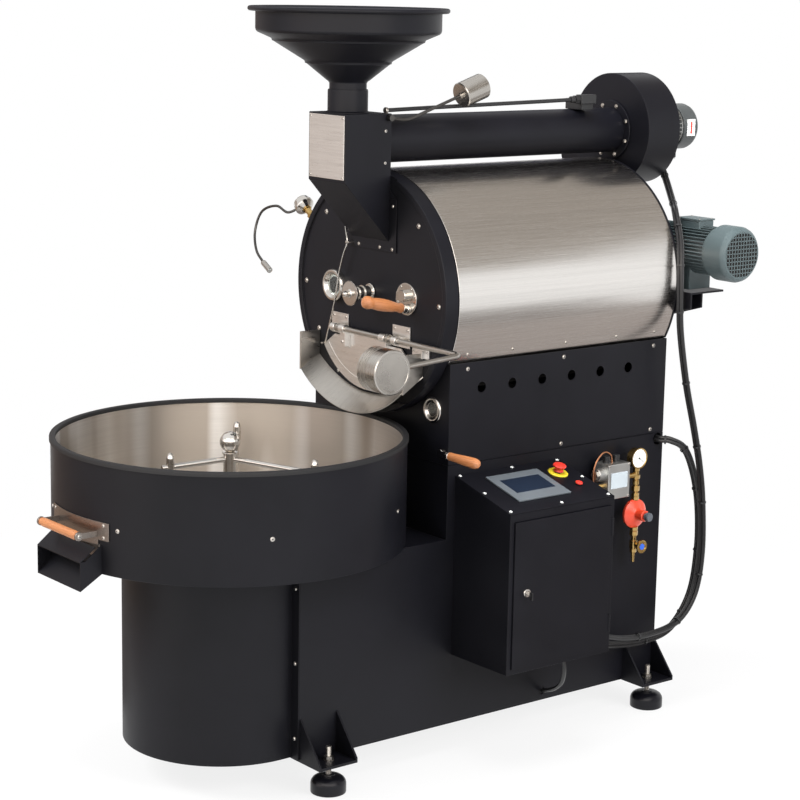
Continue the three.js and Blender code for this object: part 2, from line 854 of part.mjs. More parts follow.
function facePlate() {
  const skin = faceDepth - faceSkin;
  const profile = [
    [0, skin], [faceDiscRadius - faceSkin, skin], [faceDiscRadius - faceSkin, fit], [faceRadius, fit],
    [faceRadius, -rimFront], [faceDiscRadius, -rimFront], [faceDiscRadius, faceDepth], [0, faceDepth],
  ];
  const body = turned(profile, [0, 0, drumAxis], forward);
  const through = (x, z, radius) => bar([x, faceFront - overrun, z], [x, 0, z], radius, midSides);
  const doorway = prism(doorOutline(-doorOpeningMargin), 'y', faceFront - overrun, 0);
  const inlet = box(-neckBoxHalf + doorOpeningMargin, neckBoxHalf - doorOpeningMargin, faceFront - overrun, 0,
    neckBoxToe + sheet, neckBoxToe + sheet + neckBoxHalf);
  const trierHole = bar(alongTrier(overrun), alongTrier(-faceDepth - overrun), trierRadius + sheet, smallSides);
  const rimGap = (half, low, high) => box(-half - fit, half + fit, rimFront - overrun, faceFront, low, high);
  const neckGap = rimGap(neckFlangeHalf, drumAxis, neckBoxTop);
  const chuteGapInRim = rimGap(chuteHalf + chuteCheekHalf, drumAxis - chuteRearLow - sheet - fit, drumAxis);
  return cut(body, neckGap, chuteGapInRim, doorway, inlet, through(0, drumAxis, noseShaftRadius + sheet),
    through(-sightX, drumAxis, sightBore - sightLedge), trierHole);
}
add('face_plate', facePlate(), blackPaint);

// Roasting drum with its flights, spokes and shaft

function roastingDrum() {
  const end = drumStart + drumLength;
  const centre = [0, 0, drumAxis];
  const shell = turned(closedRing([
    [drumRadius - drumLipDepth, drumStart], [drumRadius, drumStart], [drumRadius, end], [0, end],
    [0, end - drumSheet], [drumRadius - drumSheet, end - drumSheet],
    [drumRadius - drumSheet, drumStart + drumSheet], [drumRadius - drumLipDepth, drumStart + drumSheet],
  ]), centre, [0, 1, 0]);
  const flights = Array.from({ length: flightCount }, (_, i) => {
    const blade = box(-flightSheet / 2, flightSheet / 2, drumStart + drumLipDepth, end - drumSheet / 2,
      drumRadius - flightDepth, drumRadius - drumSheet / 2);
    return blade.rotate([0, (i * 360) / flightCount, 0]).translate(centre);
  });
  const spokes = [0, 90].map((angle) => {
    const spoke = box(-drumRadius + drumSheet / 2, drumRadius - drumSheet / 2, drumStart + drumLipDepth,
      drumStart + drumLipDepth + drumSheet, -spokeWidth / 2, spokeWidth / 2);
    return spoke.rotate([0, angle, 0]).translate(centre);
  });
  const reach = noseReach + noseDiscDepth;
  const shaft = turned([
    [0, -driveY - gearboxDepth / 4], [drumShaftRadius, -driveY - gearboxDepth / 4], [drumShaftRadius, 0],
    [noseShaftRadius, 0], [noseShaftRadius, noseReach], [noseDiscRadius, noseReach], [noseDiscRadius, reach],
    [noseConeRadius, reach], [0, reach + noseConeLength],
  ], centre, forward, midSides);
  return join(shell, ...flights, ...spokes, shaft);
}
add('roasting_drum', roastingDrum(), castIron);

// Front bearing tube round the drum's nose shaft

function bearingHousing() {
  const base = faceDepth + fit;
  const end = noseReach - fit;
  const length = end - base;
  const profile = [
    [noseShaftRadius + turning, base],
    [bearingFlangeRadius, base], [bearingFlangeRadius, base + bearingFlangeDepth],
    [bearingRadius, base + bearingFlangeDepth],
  ];
  for (const share of bearingRingShares) {
    const at = base + length * share;
    profile.push([bearingRadius, at], [bearingRingRadius, at], [bearingRingRadius, at + bearingRingDepth],
      [bearingRadius, at + bearingRingDepth]);
  }
  profile.push([bearingRadius, end], [noseShaftRadius + turning, end]);
  return turned(closedRing(profile), [0, 0, drumAxis], forward, midSides);
}
add('bearing_housing', bearingHousing(), polishedSteel);

// Sight glass in its ring

function sightRing() {
  const base = faceDepth + fit;
  const ledge = base + sightLedge;
  const profile = closedRing([
    [sightBore - sightLedge, base], [sightRadius, base], [sightRadius, base + sightDepth * sightWallShare],
    [sightRadius - sheet, base + sightDepth], [sightBore + sightLedge, base + sightDepth],
    [sightBore, ledge + glassDepth], [sightBore, ledge], [sightBore - sightLedge, ledge],
  ]);
  return turned(profile, [-sightX, 0, drumAxis], forward, midSides);
}
add('sight_ring', sightRing(), polishedSteel);

const glassStart = faceDepth + fit + sightLedge + fit;
add('sight_glass', turned([[0, glassStart], [sightBore - fit, glassStart],
  [sightBore - fit, glassStart + glassDepth - fit], [0, glassStart + glassDepth - fit]],
[-sightX, 0, drumAxis], forward, midSides), clearGlass);

// Sampler: flange on the front plate, scoop tube and turned handle

function samplerPort() {
  const base = faceDepth + fit;
  const flange = turned([
    [0, base], [samplerRadius, base], [samplerRadius, base + samplerDepth * samplerWallShare],
    [samplerRadius - sheet, base + samplerDepth], [0, base + samplerDepth],
  ], [samplerX, 0, drumAxis], forward, midSides);
  const bossZ = drumAxis + samplerBossRise;
  const boss = bar([samplerX, -base, bossZ], [samplerX, -base - samplerBossReach, bossZ],
    samplerBossRadius, midSides);
  const hole = bar(alongTrier(overrun), alongTrier(-faceDepth), trierRadius + fit, smallSides);
  return cut(join(flange, boss), hole);
}
add('sampler_port', samplerPort(), polishedSteel);

function trierTube() {
  const tube = bar(alongTrier(-trierInside), alongTrier(trierFerrule / 2), trierRadius);
  const inside = trierTip - trierInside;
  const bore = bar(alongTrier(inside), alongTrier(-faceDepth), trierRadius - trierWall);
  const scoop = bar(alongTrier(inside), alongTrier(-trierMouthEnd), trierRadius - trierWall);
  const mouth = scoop.translate([0, 0, trierMouthLift]);
  const collar = bar(alongTrier(ferruleStart), alongTrier(trierFerrule), trierFerruleRadius, smallSides);
  return join(cut(tube, bore, mouth), collar);
}
add('trier', trierTube(), polishedSteel);

// A turned handle: narrow at the ferrule, full in the middle, round at the end
const gripProfileShares = [
  [0.7, 0], [0.78, 0.04], [0.72, 0.14], [0.9, 0.3], [0.98, 0.5], [0.92, 0.7], [0.82, 0.78], [1, 0.86],
  [0.98, 0.94], [0.7, 0.99], [0, 1],
];
function turnedGrip(origin, direction, radius, length) {
  const profile = [[0, 0], ...gripProfileShares.map(([r, h]) => [r * radius, h * length])];
  return turned(profile, origin, direction, smallSides);
}
const trierGrip = turnedGrip(alongTrier(trierFerrule + fit), trierDirection, gripRadius, gripLength);
add('trier_handle', trierGrip, turnedWood);

// Discharge door, hung on a rod that carries the counterweight

function hingeBracket(centreX) {
  const back = faceFront - fit;
  const plate = box(centreX - bracketWidth / 2, centreX + bracketWidth / 2, back - bracketPlate, back,
    rodZ + bracketRise - bracketHeight, rodZ + bracketRise);
  const boss = bar([centreX - bracketBossWidth / 2, rodY, rodZ], [centreX + bracketBossWidth / 2, rodY, rodZ],
    hingeBoss, smallSides);
  const web = box(centreX - bracketBossWidth / 2, centreX + bracketBossWidth / 2, rodY, back - bracketPlate / 2,
    rodZ - bracketWebHalf, rodZ + bracketWebHalf);
  const bore = bar([centreX - bracketWidth, rodY, rodZ], [centreX + bracketWidth, rodY, rodZ],
    hingeRodRadius + turning, smallSides);
  return cut(join(plate, boss, web), bore);
}
add('hinge_bracket_left', hingeBracket(-bracketLeftX), brushedSteel);
add('hinge_bracket_right', hingeBracket(bracketRightX), brushedSteel);

function dischargeDoor() {
  const back = faceFront - doorStandOff;
  const leaf = prism(doorOutline(0), 'y', back - doorSheet, back);
  const clear = hingeBoss + sheet;
  const slotHalf = bracketWidth / 2 + sheet;
  const slots = [-bracketLeftX, bracketRightX].map((x) => box(x - slotHalf, x + slotHalf,
    back - clear, back + doorStandOff, rodZ + bracketRise - bracketHeight - sheet, rodZ + clear));
  const arms = [-hingeArmX, hingeArmX].map((x) => {
    const [from, to] = [x - hingeArmWidth / 2, x + hingeArmWidth / 2];
    const boss = bar([from, rodY, rodZ], [to, rodY, rodZ], hingeBoss, smallSides);
    const strap = box(from, to, rodY - hingeStrapReach, back - doorSheet / 2, rodZ - hingeStrapLength, rodZ);
    const bore = bar([x - hingeArmWidth, rodY, rodZ], [x + hingeArmWidth, rodY, rodZ],
      hingeRodRadius + fit, smallSides);
    return cut(join(boss, strap), bore);
  });
  return join(cut(leaf, ...slots), ...arms);
}
add('discharge_door', dischargeDoor(), brushedSteel);

function doorLever() {
  const weightY = rodY - weightReach;
  const weightZ = rodZ - weightDrop;
  const rodStart = rodEndInset - bracketLeftX;
  const rod = bentBar([[rodStart, rodY, rodZ], [hingeRodRight, rodY, rodZ], [hingeRodRight, weightY, weightZ]],
    hingeRodRadius);
  const half = weightLength / 2;
  const profile = [
    [0, -half], [weightRadius - weightEdge, -half], [weightRadius, -half + weightEdge],
    [weightRadius, half - weightEdge], [weightRadius - weightEdge, half], [0, half],
  ];
  return join(rod, turned(profile, [hingeRodRight, weightY, weightZ], outward, midSides));
}
add('door_lever', doorLever(), brushedSteel);

// Chute: a curved apron that widens forward and down, between two cheeks

function chuteArc(half, end, low) {
  const sag = low - end;
  const radius = (half ** 2 + sag ** 2) / (2 * sag);
  const centre = drumAxis - low + radius;
  const angle = THREE.MathUtils.radToDeg(Math.asin(half / radius));
  return arcPoints(0, centre, radius, -90 - angle, -90 + angle, chuteSteps);
}

function dischargeChute() {
  const rear = chuteArc(chuteHalf, chuteRearEnd, chuteRearLow);
  const front = chuteArc(chuteMouthHalf, chuteFrontEnd, chuteFrontLow);
  const rows = [
    rear.map(([x, z]) => [x, faceFront - fit, z]),
    front.map(([x, z]) => [x, faceFront - chuteDepth, z]),
    front.map(([x, z]) => [x, faceFront - chuteDepth, z - sheet]),
    rear.map(([x, z]) => [x, faceFront - fit, z - sheet]),
  ];
  const count = chuteSteps + 1;
  const vertices = rows.flat(2);
  const faces = [];
  for (let row = 0; row < rows.length; row += 1) {
    const next = (row + 1) % rows.length;
    for (let i = 0; i < chuteSteps; i += 1) {
      const [a, b, c, d] = [row * count + i, row * count + i + 1, next * count + i + 1, next * count + i];
      faces.push(a, b, c, a, c, d);
    }
  }
  const last = chuteSteps;
  faces.push(0, count, 2 * count, 0, 2 * count, 3 * count);
  faces.push(last, 2 * count + last, count + last, last, 3 * count + last, 2 * count + last);
  const geometry = new THREE.BufferGeometry();
  geometry.setAttribute('position', new THREE.Float32BufferAttribute(vertices, 3));
  geometry.setIndex(faces);
  const cheekOutline = [
    [faceFront - fit, drumAxis - chuteCheekTop], [faceFront - chuteDepth, drumAxis - chuteCheekTop],
    [faceFront - chuteDepth, drumAxis - chuteFrontEnd - sheet],
    [faceFront - fit, drumAxis - chuteRearEnd - sheet],
  ];
  const cheeks = [-1, 1].map((side) => {
    const at = side * (chuteHalf + chuteMouthHalf) / 2;
    return prism(cheekOutline, 'x', at - chuteCheekHalf, at + chuteCheekHalf);
  });
  return join(toSolid(geometry), ...cheeks);
}
add('discharge_chute', dischargeChute(), brushedSteel);

// Feed hopper: rolled bead, straight band, stepped cone and neck

function hopperFunnel() {
  const bottom = neckBoxTop + fit;
  const neckTop = neckBoxTop + hopperNeckLength;
  const coneMidHeight = neckTop + coneLowRise;
  const coneStepHeight = coneMidHeight + coneHighRise;
  const bandBottom = coneStepHeight + bandRise;
  const hopperRim = bandBottom + bandHeight;
  const beadHeight = hopperRim - hopperBeadRadius;
  const bead = arcPoints(bandRadius + beadReach, beadHeight, hopperBeadRadius, -110, 160, 4);
  const outer = [
    [neckRadius, bottom], [neckRadius, neckTop], [coneMidRadius, coneMidHeight],
    [coneStepRadius, coneStepHeight], [bandRadius, bandBottom], [bandRadius, beadHeight - hopperBeadRadius],
  ];
  const inner = [
    [bandRadius - sheet, beadHeight], [bandRadius - sheet, bandBottom + funnelSkin],
    [coneMidRadius, coneMidHeight + funnelSkin], [neckRadius - sheet, neckTop + sheet],
    [neckRadius - sheet, bottom],
  ];
  return turned(closedRing([...outer, ...bead, ...inner]), [0, hopperY, 0], upward, fineSides);
}
add('hopper_funnel', hopperFunnel(), blackPaint);

// Neck box: leads the beans from the hopper to the front plate, and the smoke into the exhaust pipe

const gateShaftY = faceFront - gateShaftReach;
const gateShaftZ = neckBoxTop - gateShaftDrop;

function neckBox() {
  const back = faceFront - fit;
  const front = back - neckBoxDepth;
  const shell = prism([[back, neckBoxTop], [front, neckBoxTop], [front, neckBoxChin], [back, neckBoxToe]],
    'x', -neckBoxHalf, neckBoxHalf);
  const hollow = prism([
    [back - sheet, neckBoxTop - sheet], [front + sheet, neckBoxTop - sheet],
    [front + sheet, neckBoxChin + sheet], [back - sheet, neckBoxToe + sheet + sheet],
  ], 'x', -neckBoxHalf + sheet, neckBoxHalf - sheet);
  const upright = (from, to, radius) => bar([0, hopperY, from], [0, hopperY, to], radius, fineSides);
  const collar = upright(neckBoxTop - sheet, neckBoxTop + collarHeight, collarRadius);
  const bore = upright(neckBoxTop, neckBoxTop + collarHeight + overrun, neckRadius + fit);
  const throat = upright(neckBoxTop - overrun, neckBoxTop + overrun, neckRadius - sheet);
  const flange = box(-neckFlangeHalf, neckFlangeHalf, back - bracketPlate, back,
    neckBoxToe - neckFlangeDrop, neckBoxToe + neckFlangeRise);
  const inletHalf = neckBoxHalf - doorOpeningMargin;
  const toFace = box(-inletHalf, inletHalf, back - sheet - fit, back + overrun,
    neckBoxToe + funnelSkin + sheet, neckBoxToe + neckBoxHalf);
  const toPipe = bar([0, back - overrun, pipeHeight], [0, back + overrun, pipeHeight],
    pipeRadius - sheet, midSides);
  const shaftBore = bar([-neckBoxWidth, gateShaftY, gateShaftZ], [neckBoxWidth, gateShaftY, gateShaftZ],
    gateShaftRadius + fit);
  return cut(join(shell, collar, flange), hollow, bore, throat, toFace, toPipe, shaftBore);
}
add('neck_box', neckBox(), blackPaint);

// Hopper gate: flap in the neck box, its shaft, and the lever with the counterweight

function hopperGate() {
  const leverX = neckBoxHalf + gateArmGap;
  const inside = neckBoxHalf - gateFlapInset;
  const shaft = bar([-neckBoxHalf - sheet, gateShaftY, gateShaftZ], [leverX, gateShaftY, gateShaftZ],
    gateShaftRadius);
  const flap = box(-inside, inside, faceFront - neckBoxDepth + sheet + sheet, gateShaftY,
    gateShaftZ - sheet / 2, gateShaftZ + sheet / 2);
  const bend = [leverX, gateShaftY + gateArmBack, gateShaftZ - gateArmDip];
  const tip = [leverX, gateShaftY + gateArmReach, gateShaftZ + gateArmRise];
  const arm = bentBar([[leverX, gateShaftY, gateShaftZ], bend, tip], gateArmRadius, cornerSides);
  const hub = ball([leverX, gateShaftY, gateShaftZ], gateHubRadius);
  const run = new THREE.Vector3(...tip).sub(new THREE.Vector3(...bend)).setLength(gateWeightLength);
  const weight = bar(tip, [tip[0] + run.x, tip[1] + run.y, tip[2] + run.z], gateWeightRadius, midSides);
  return join(shaft, flap, arm, hub, weight);
}
add('hopper_gate', hopperGate(), brushedSteel);

// Exhaust pipe, fan housing, impeller and motor

function exhaustPipe() {
  const flangeStart = fanFront - fit - pipeFlangeDepth;
  const end = fanFront - fit;
  const profile = closedRing([
    [pipeRadius - sheet, faceFront], [pipeRadius, faceFront], [pipeRadius, flangeStart],
    [pipeFlangeRadius, flangeStart], [pipeFlangeRadius, end], [pipeRadius - sheet, end],
  ]);
  return turned(profile, [0, 0, pipeHeight], [0, 1, 0], fineSides);
}
add('exhaust_pipe', exhaustPipe(), blackPaint);

function fanHousing() {
  const drum = bar([0, fanFront, fanHeight], [0, fanRear, fanHeight], fanRadius, fineSides);
  const hollow = bar([0, fanFront + sheet, fanHeight], [0, fanRear - sheet, fanHeight],
    fanRadius - sheet, fineSides);
  const mid = (fanFront + fanRear) / 2;
  const outletZ = fanHeight - fanRadius + outletRadius + outletInset;
  const root = outletRootInset - fanRadius;
  const spigot = bar([root, mid, outletZ], [-outletReach, mid, outletZ], outletRadius, midSides);
  const spigotBore = bar([root + sheet, mid, outletZ], [-outletReach - overrun, mid, outletZ],
    outletRadius - sheet, midSides);
  const inlet = bar([0, fanFront - overrun, pipeHeight], [0, fanFront + overrun, pipeHeight],
    pipeRadius - sheet, midSides);
  const shaftHole = bar([0, fanRear - overrun, fanHeight], [0, fanRear + overrun, fanHeight],
    fanShaftRadius + sheet, midSides);
  return cut(join(drum, spigot), hollow, spigotBore, inlet, shaftHole);
}
add('fan_housing', fanHousing(), blackPaint);

function fanImpeller() {
  const rear = fanRear - impellerRearGap;
  const front = rear - impellerDepth;
  const hubFront = rear - impellerDepth * impellerHubShare;
  const radius = fanRadius - impellerGap;
  const centre = [0, 0, fanHeight];
  const disc = bar([0, rear - sheet, fanHeight], [0, rear, fanHeight], radius, midSides);
  const shaft = bar([0, hubFront, fanHeight], [0, fanRear + fanMotorFlangeDepth + overrun, fanHeight],
    fanShaftRadius);
  const hub = bar([0, hubFront, fanHeight], [0, rear, fanHeight], impellerHubRadius);
  const blades = Array.from({ length: bladeCount }, (_, i) => {
    const blade = box(-sheet / 2, sheet / 2, front, rear - sheet / 2, impellerEye, radius);
    return blade.rotate([0, (i * 360) / bladeCount, 0]).translate(centre);
  });
  return join(disc, shaft, hub, ...blades);
}
add('fan_impeller', fanImpeller(), silverCasting);

function fanMotor() {
  const start = fanRear + fit;
  const flangeEnd = start + fanMotorFlangeDepth;
  const bodyEnd = flangeEnd + fanMotorBody;
  const end = bodyEnd + fanCowlLength;
  const bore = fanShaftRadius + fit;
  const boreEnd = flangeEnd + overrun + fit;
  const profile = closedRing([
    [bore, start], [fanMotorFlange, start], [fanMotorFlange, flangeEnd], [fanMotorRadius, flangeEnd],
    [fanMotorRadius, bodyEnd], [fanCowlRadius, bodyEnd], [fanCowlRadius, end - cowlRound],
    [fanCowlEndRadius, end], [0, end], [0, boreEnd], [bore, boreEnd],
  ]);
  const body = turned(profile, [0, 0, fanHeight], [0, 1, 0], midSides);
  const low = fanHeight - fanMotorRadius;
  const terminal = box(-terminalWidth / 2, terminalWidth / 2 + cowlRound, flangeEnd + terminalInset,
    bodyEnd - terminalInset, low - terminalHeight, low + cowlRound);
  return join(body, terminal);
}
add('fan_motor', fanMotor(), greyCasting);

// Lead conduit above the pipe, with its gland and junction box at the fan

function sensorConduit() {
  const start = [conduitX, faceFront - sheet, pipeHeight + conduitRise];
  const end = [conduitX, fanFront - conduitRearGap, pipeHeight + conduitEndRise];
  const path = conduitShares.map((share) => start.map((from, i) => from + (end[i] - from) * share));
  const boxStart = end[1] + glandLength / 3;
  const gland = bar([conduitX, boxStart - glandLength * 2 / 3, end[2]], [conduitX, boxStart + sheet, end[2]],
    glandRadius);
  const half = junctionSide / 2;
  const boxEnd = boxStart + junctionLength;
  const junction = box(conduitX - half, conduitX + half, boxStart, boxEnd, end[2] - half, end[2] + half);
  const saddle = box(-half, conduitX, boxStart + saddleInset, boxEnd, pipeHeight + pipeRadius + fit, end[2]);
  return join(lead(path, conduitRadius, cornerSides), gland, junction, saddle);
}
add('sensor_conduit', sensorConduit(), blackRubber);

// Drum drive: worm gearbox on the drum shaft, motor across the back, bracket

function drumGearbox() {
  const from = driveY - gearboxDepth / 2;
  const to = driveY + gearboxDepth / 2;
  const low = drumAxis - gearboxDrop;
  const high = driveMotorHeight + gearboxCrown;
  const flat = gearboxHalf - gearboxEdge;
  const outline = [
    [-flat, low], [flat, low], [gearboxHalf, low + gearboxEdge], [gearboxHalf, high - gearboxEdge],
    [flat, high], [-flat, high], [-gearboxHalf, high - gearboxEdge], [-gearboxHalf, low + gearboxEdge],
  ];
  const casing = prism(outline, 'y', from, to);
  const flange = bar([0, bodyDepth + fit, drumAxis], [0, from + overrun, drumAxis],
    gearboxFlangeRadius, midSides);
  const bore = bar([0, bodyDepth - overrun, drumAxis], [0, to + overrun, drumAxis],
    drumShaftRadius + turning, midSides);
  return cut(join(casing, flange), bore);
}
add('drum_gearbox', drumGearbox(), greyCasting);

function drumMotor() {
  const start = gearboxHalf + fit;
  const flangeEnd = start + driveFlangeDepth;
  const bodyEnd = flangeEnd + driveBodyLength;
  const end = bodyEnd + driveCowlLength;
  const profile = [
    [0, start], [driveFlangeRadius, start], [driveFlangeRadius, flangeEnd], [driveMotorRadius, flangeEnd],
    [driveMotorRadius, bodyEnd], [driveCowlRadius, bodyEnd], [driveCowlRadius, end - cowlRound],
    [driveCowlEndRadius, end], [0, end],
  ];
  const body = turned(profile, [0, driveY, driveMotorHeight], outward, midSides);
  const feet = driveFootShares.map((share) => {
    const x = flangeEnd + driveBodyLength * share;
    return box(x - driveFootWidth / 2, x + driveFootWidth / 2, driveY - driveFootHalf, driveY + driveFootHalf,
      bracketShelfTop + fit, driveMotorHeight - driveMotorRadius * driveFootRootShare);
  });
  const terminal = box(bodyEnd - driveTerminalStart, bodyEnd - driveTerminalEnd,
    driveY - terminalWidth / 2, driveY + terminalWidth / 2, driveMotorHeight + driveTerminalSeat,
    driveMotorHeight + driveMotorRadius + driveTerminalTop);
  return join(body, ...feet, terminal);
}
add('drum_motor', drumMotor(), greyCasting);

function motorBracket() {
  const wall = bodyDepth + fit;
  const plateBottom = bracketShelfTop - bracketPlateDepth;
  const plate = box(bracketShelfStart, bodyHalf, wall, wall + shelfPlate, plateBottom, bracketShelfTop);
  const shelf = box(bracketShelfStart, bracketShelfEnd, wall, driveY + bracketShelfHalf,
    bracketShelfTop - shelfPlate, bracketShelfTop);
  const web = [
    [bracketShelfStart, bracketShelfTop], [bracketShelfStart, plateBottom],
    [(bracketShelfStart + bodyHalf) / 2, plateBottom], [bracketShelfEnd, bracketShelfTop - gussetTipDepth],
    [bracketShelfEnd, bracketShelfTop],
  ];
  const webY = (wall + driveY) / 2;
  const webs = [wall, webY].map((y) => prism(web, 'y', y, y + shelfPlate));
  return join(plate, shelf, ...webs);
}
add('motor_bracket', motorBracket(), blackPaint);

// Cooling tray: shell with spout, steel liner with floor, rubber rim

const spoutTop = trayFloor + spoutMouthHeight;

function trayShell() {
  const centre = [0, trayY, 0];
  const rooted = trayRadius - sheet / 2;
  const wallTop = trayRim - rimTrimTop - fit;
  const wall = turned(ring(trayRadius - sheet, trayRadius, trayBottom, wallTop), centre, upward);
  const bottom = turned(ring(stirrerShaftRadius + sheet, rooted, trayBottom, trayBottom + sheet),
    centre, upward);
  const ledgeTop = trayFloor - sheet - fit;
  const ledge = turned(ring(trayRadius - trayLedge, rooted, ledgeTop - sheet, ledgeTop), centre, upward);
  const collarRing = ring(trayCollarRadius - sheet, trayCollarRadius, shelfHeight + fit, trayBottom + sheet / 2);
  const collar = turned(collarRing, centre, upward, midSides);
  const front = trayY - trayRadius;
  const chord = trayY - Math.sqrt(trayRadius ** 2 - spoutHalf ** 2);
  const lip = front - spoutReach;
  const outline = [
    [chord + sheet / 2, spoutTop], [front - spoutRoofReach, spoutTop - spoutRoofDrop],
    [lip, spoutTop - spoutRoofDrop], [lip, spoutTop - spoutLipDrop],
    [chord + sheet / 2, spoutTop - spoutHeelDrop],
  ];
  const cheekAt = spoutHalf - sheet / 2;
  const cheeks = [-cheekAt, cheekAt].map((at) => prism(outline, 'x', at - sheet / 2, at + sheet / 2));
  const roofTop = spoutTop - spoutRoofStartDrop;
  const roof = prism([
    [front - spoutRoofStart, roofTop], [front - spoutRoofStart, roofTop - sheet],
    [lip, spoutTop - spoutRoofDrop - sheet], [lip, spoutTop - spoutRoofDrop],
  ], 'x', -cheekAt, cheekAt);
  const floor = prism([
    [chord + spoutFloorStart, trayFloor], [lip, spoutTop - spoutLipDrop + sheet],
    [lip, spoutTop - spoutLipDrop], [chord + spoutFloorStart, trayFloor - sheet - sheet],
  ], 'x', -cheekAt, cheekAt);
  const under = trayBottom - overrun;
  const inside = turned([[0, under], [rooted, under], [rooted, trayRim], [0, trayRim]], centre, upward);
  const spout = cut(join(...cheeks, roof, floor), inside);
  const mouthHalf = spoutHalf - spoutMouthInset;
  const mouth = box(-mouthHalf, mouthHalf, front - overrun, chord + overrun, trayFloor, spoutTop);
  return join(cut(join(wall, bottom, ledge, collar), mouth), spout);
}
add('tray_shell', trayShell(), blackPaint);

function trayLiner() {
  const outer = trayRadius - sheet - linerGap;
  const inner = stirrerShaftRadius + sheet;
  const top = trayRim - rimTrimTop - fit;
  const profile = closedRing([
    [inner, trayFloor - sheet], [outer, trayFloor - sheet], [outer, top], [outer - sheet, top],
    [outer - sheet, trayFloor], [inner, trayFloor],
  ]);
  const mouthHalf = spoutHalf - spoutMouthInset;
  const mouth = box(-mouthHalf, mouthHalf, trayY - trayRadius, trayY - trayRadius / 2, trayFloor, spoutTop);
  return cut(turned(profile, [0, trayY, 0], upward), mouth);
}
add('tray_liner', trayLiner(), brushedSteel);

function rimTrim() {
  const outer = trayRadius + fit;
  const inner = trayRadius - sheet - linerGap - sheet - fit;
  const low = trayRim - rimTrimTop;
  const profile = closedRing([
    [outer, trayRim - rimTrimLeg],
    [outer + rimTrimWidth, trayRim - rimTrimLeg], [outer + rimTrimWidth, trayRim],
    [inner - rimTrimWidth, trayRim], [inner - rimTrimWidth, trayRim - rimTrimLeg],
    [inner, trayRim - rimTrimLeg],
    [inner, low], [outer, low],
  ]);
  return turned(profile, [0, trayY, 0], upward);
}
add('rim_trim', rimTrim(), blackRubber);

// Tray gate: curved plate outside the shell, its tongue closes the spout's mouth; two arms and a grip

const gatePlateBottom = spoutTop + gatePlateRise;
const gateHandleHeight = gatePlateBottom + gateHandleRise;

function trayGate() {
  const inner = trayRadius + fit;
  const outer = inner + sheet;
  const plate = (half, low, high) => {
    const angle = THREE.MathUtils.radToDeg(Math.asin(half / outer));
    return prism([
      ...arcPoints(0, trayY, outer, -90 - angle, -90 + angle, smallSides),
      ...arcPoints(0, trayY, inner, -90 + angle, -90 - angle, smallSides),
    ], 'z', low, high);
  };
  const front = trayY - trayRadius;
  const gripY = front - gateHandleReach;
  const arms = [-1, 1].map((side) => {
    const at = side * (gateGripHalf + fit + gateArmPlate / 2);
    const root = trayY - Math.sqrt(outer ** 2 - at ** 2) + sheet / 2;
    return box(at - gateArmPlate / 2, at + gateArmPlate / 2, gripY - gateArmHeight / 2, root,
      gateHandleHeight - gateArmHeight / 2, gateHandleHeight + gateArmHeight / 2);
  });
  return join(plate(gatePlateHalf, gatePlateBottom, gatePlateBottom + gatePlateHeight),
    plate(spoutHalf - gateTongueInset, trayFloor + fit, gatePlateBottom + sheet), ...arms);
}
add('tray_gate', trayGate(), brushedSteel);

const gateGripY = trayY - trayRadius - gateHandleReach;
const gateGripLength = gateGripHalf + gateGripHalf;
const gateGripShares = [[0, 0], [0.84, 0], [1, 0.08], [0.96, 0.5], [1, 0.92], [0.84, 1], [0, 1]];
const gateGrip = turned(gateGripShares.map(([r, h]) => [r * gateGripRadius, h * gateGripLength]),
  [-gateGripHalf, gateGripY, gateHandleHeight], outward, smallSides);
add('gate_grip', gateGrip, turnedWood);

// Stirrer: shaft, hub with ball knob, and three arms of different reach, each with a post, a blade
// and a tall cap nut

function stirrer() {
  const low = trayBottom - stirrerSocket;
  const bladeBottom = trayFloor + bladeFloorGap;
  const hubTop = bladeBottom + hubHeight;
  const ballHeight = hubTop + ballRise;
  const spine = turned([
    [0, low], [stirrerShaftRadius, low], [stirrerShaftRadius, bladeBottom], [hubRadius, bladeBottom],
    [hubRadius, hubTop], [stirrerShaftRadius, hubTop], [stirrerShaftRadius, ballHeight], [0, ballHeight],
  ], [0, trayY, 0], upward, midSides);
  const knob = ball([0, trayY, ballHeight], ballRadius, smallSides);
  const outerReach = trayRadius - bladeRimGap - bladeLength / 2;
  const at = (reach) => hubTop - armDrop - (armFall * reach) / outerReach;
  const arms = Array.from({ length: armCount }, (_, i) => {
    const reach = outerReach - i * bladePitch;
    const end = reach + armTail;
    const rod = bar([hubRadius / 2, 0, at(hubRadius / 2)], [end, 0, at(end)], armRadius, cornerSides);
    const root = bladeBottom + bladeHeight * bladeRootShare;
    const post = bar([reach, 0, root], [reach, 0, at(reach)], postRadius, cornerSides);
    const nut = bar([reach, 0, at(reach)], [reach, 0, at(reach) + acornHeight], acornRadius, cornerSides,
      acornTipRadius);
    const blade = box(reach - bladeLength / 2, reach + bladeLength / 2, -bladeSheet / 2, bladeSheet / 2,
      bladeBottom, bladeBottom + bladeHeight);
    const angle = armStart - (i * 360) / armCount;
    return join(rod, post, nut, blade).rotate([0, 0, angle]).translate([0, trayY, 0]);
  });
  return join(spine, knob, ...arms);
}
add('stirrer', stirrer(), polishedSteel);

function stirrerMotor() {
  const top = trayBottom - fit;
  const plateBottom = top - stirrerMotorPlate;
  const seat = trayBottom - stirrerSocket - fit;
  const bore = stirrerShaftRadius + fit;
  const profile = closedRing([
    [bore, top], [bore, seat], [0, seat], [0, plateBottom - stirrerMotorLength],
    [stirrerMotorRadius, plateBottom - stirrerMotorLength], [stirrerMotorRadius, plateBottom],
    [stirrerMotorFlange, plateBottom], [stirrerMotorFlange, top],
  ]);
  return turned(profile, [0, trayY, 0], upward, midSides);
}
add('stirrer_gearmotor', stirrerMotor(), greyCasting);

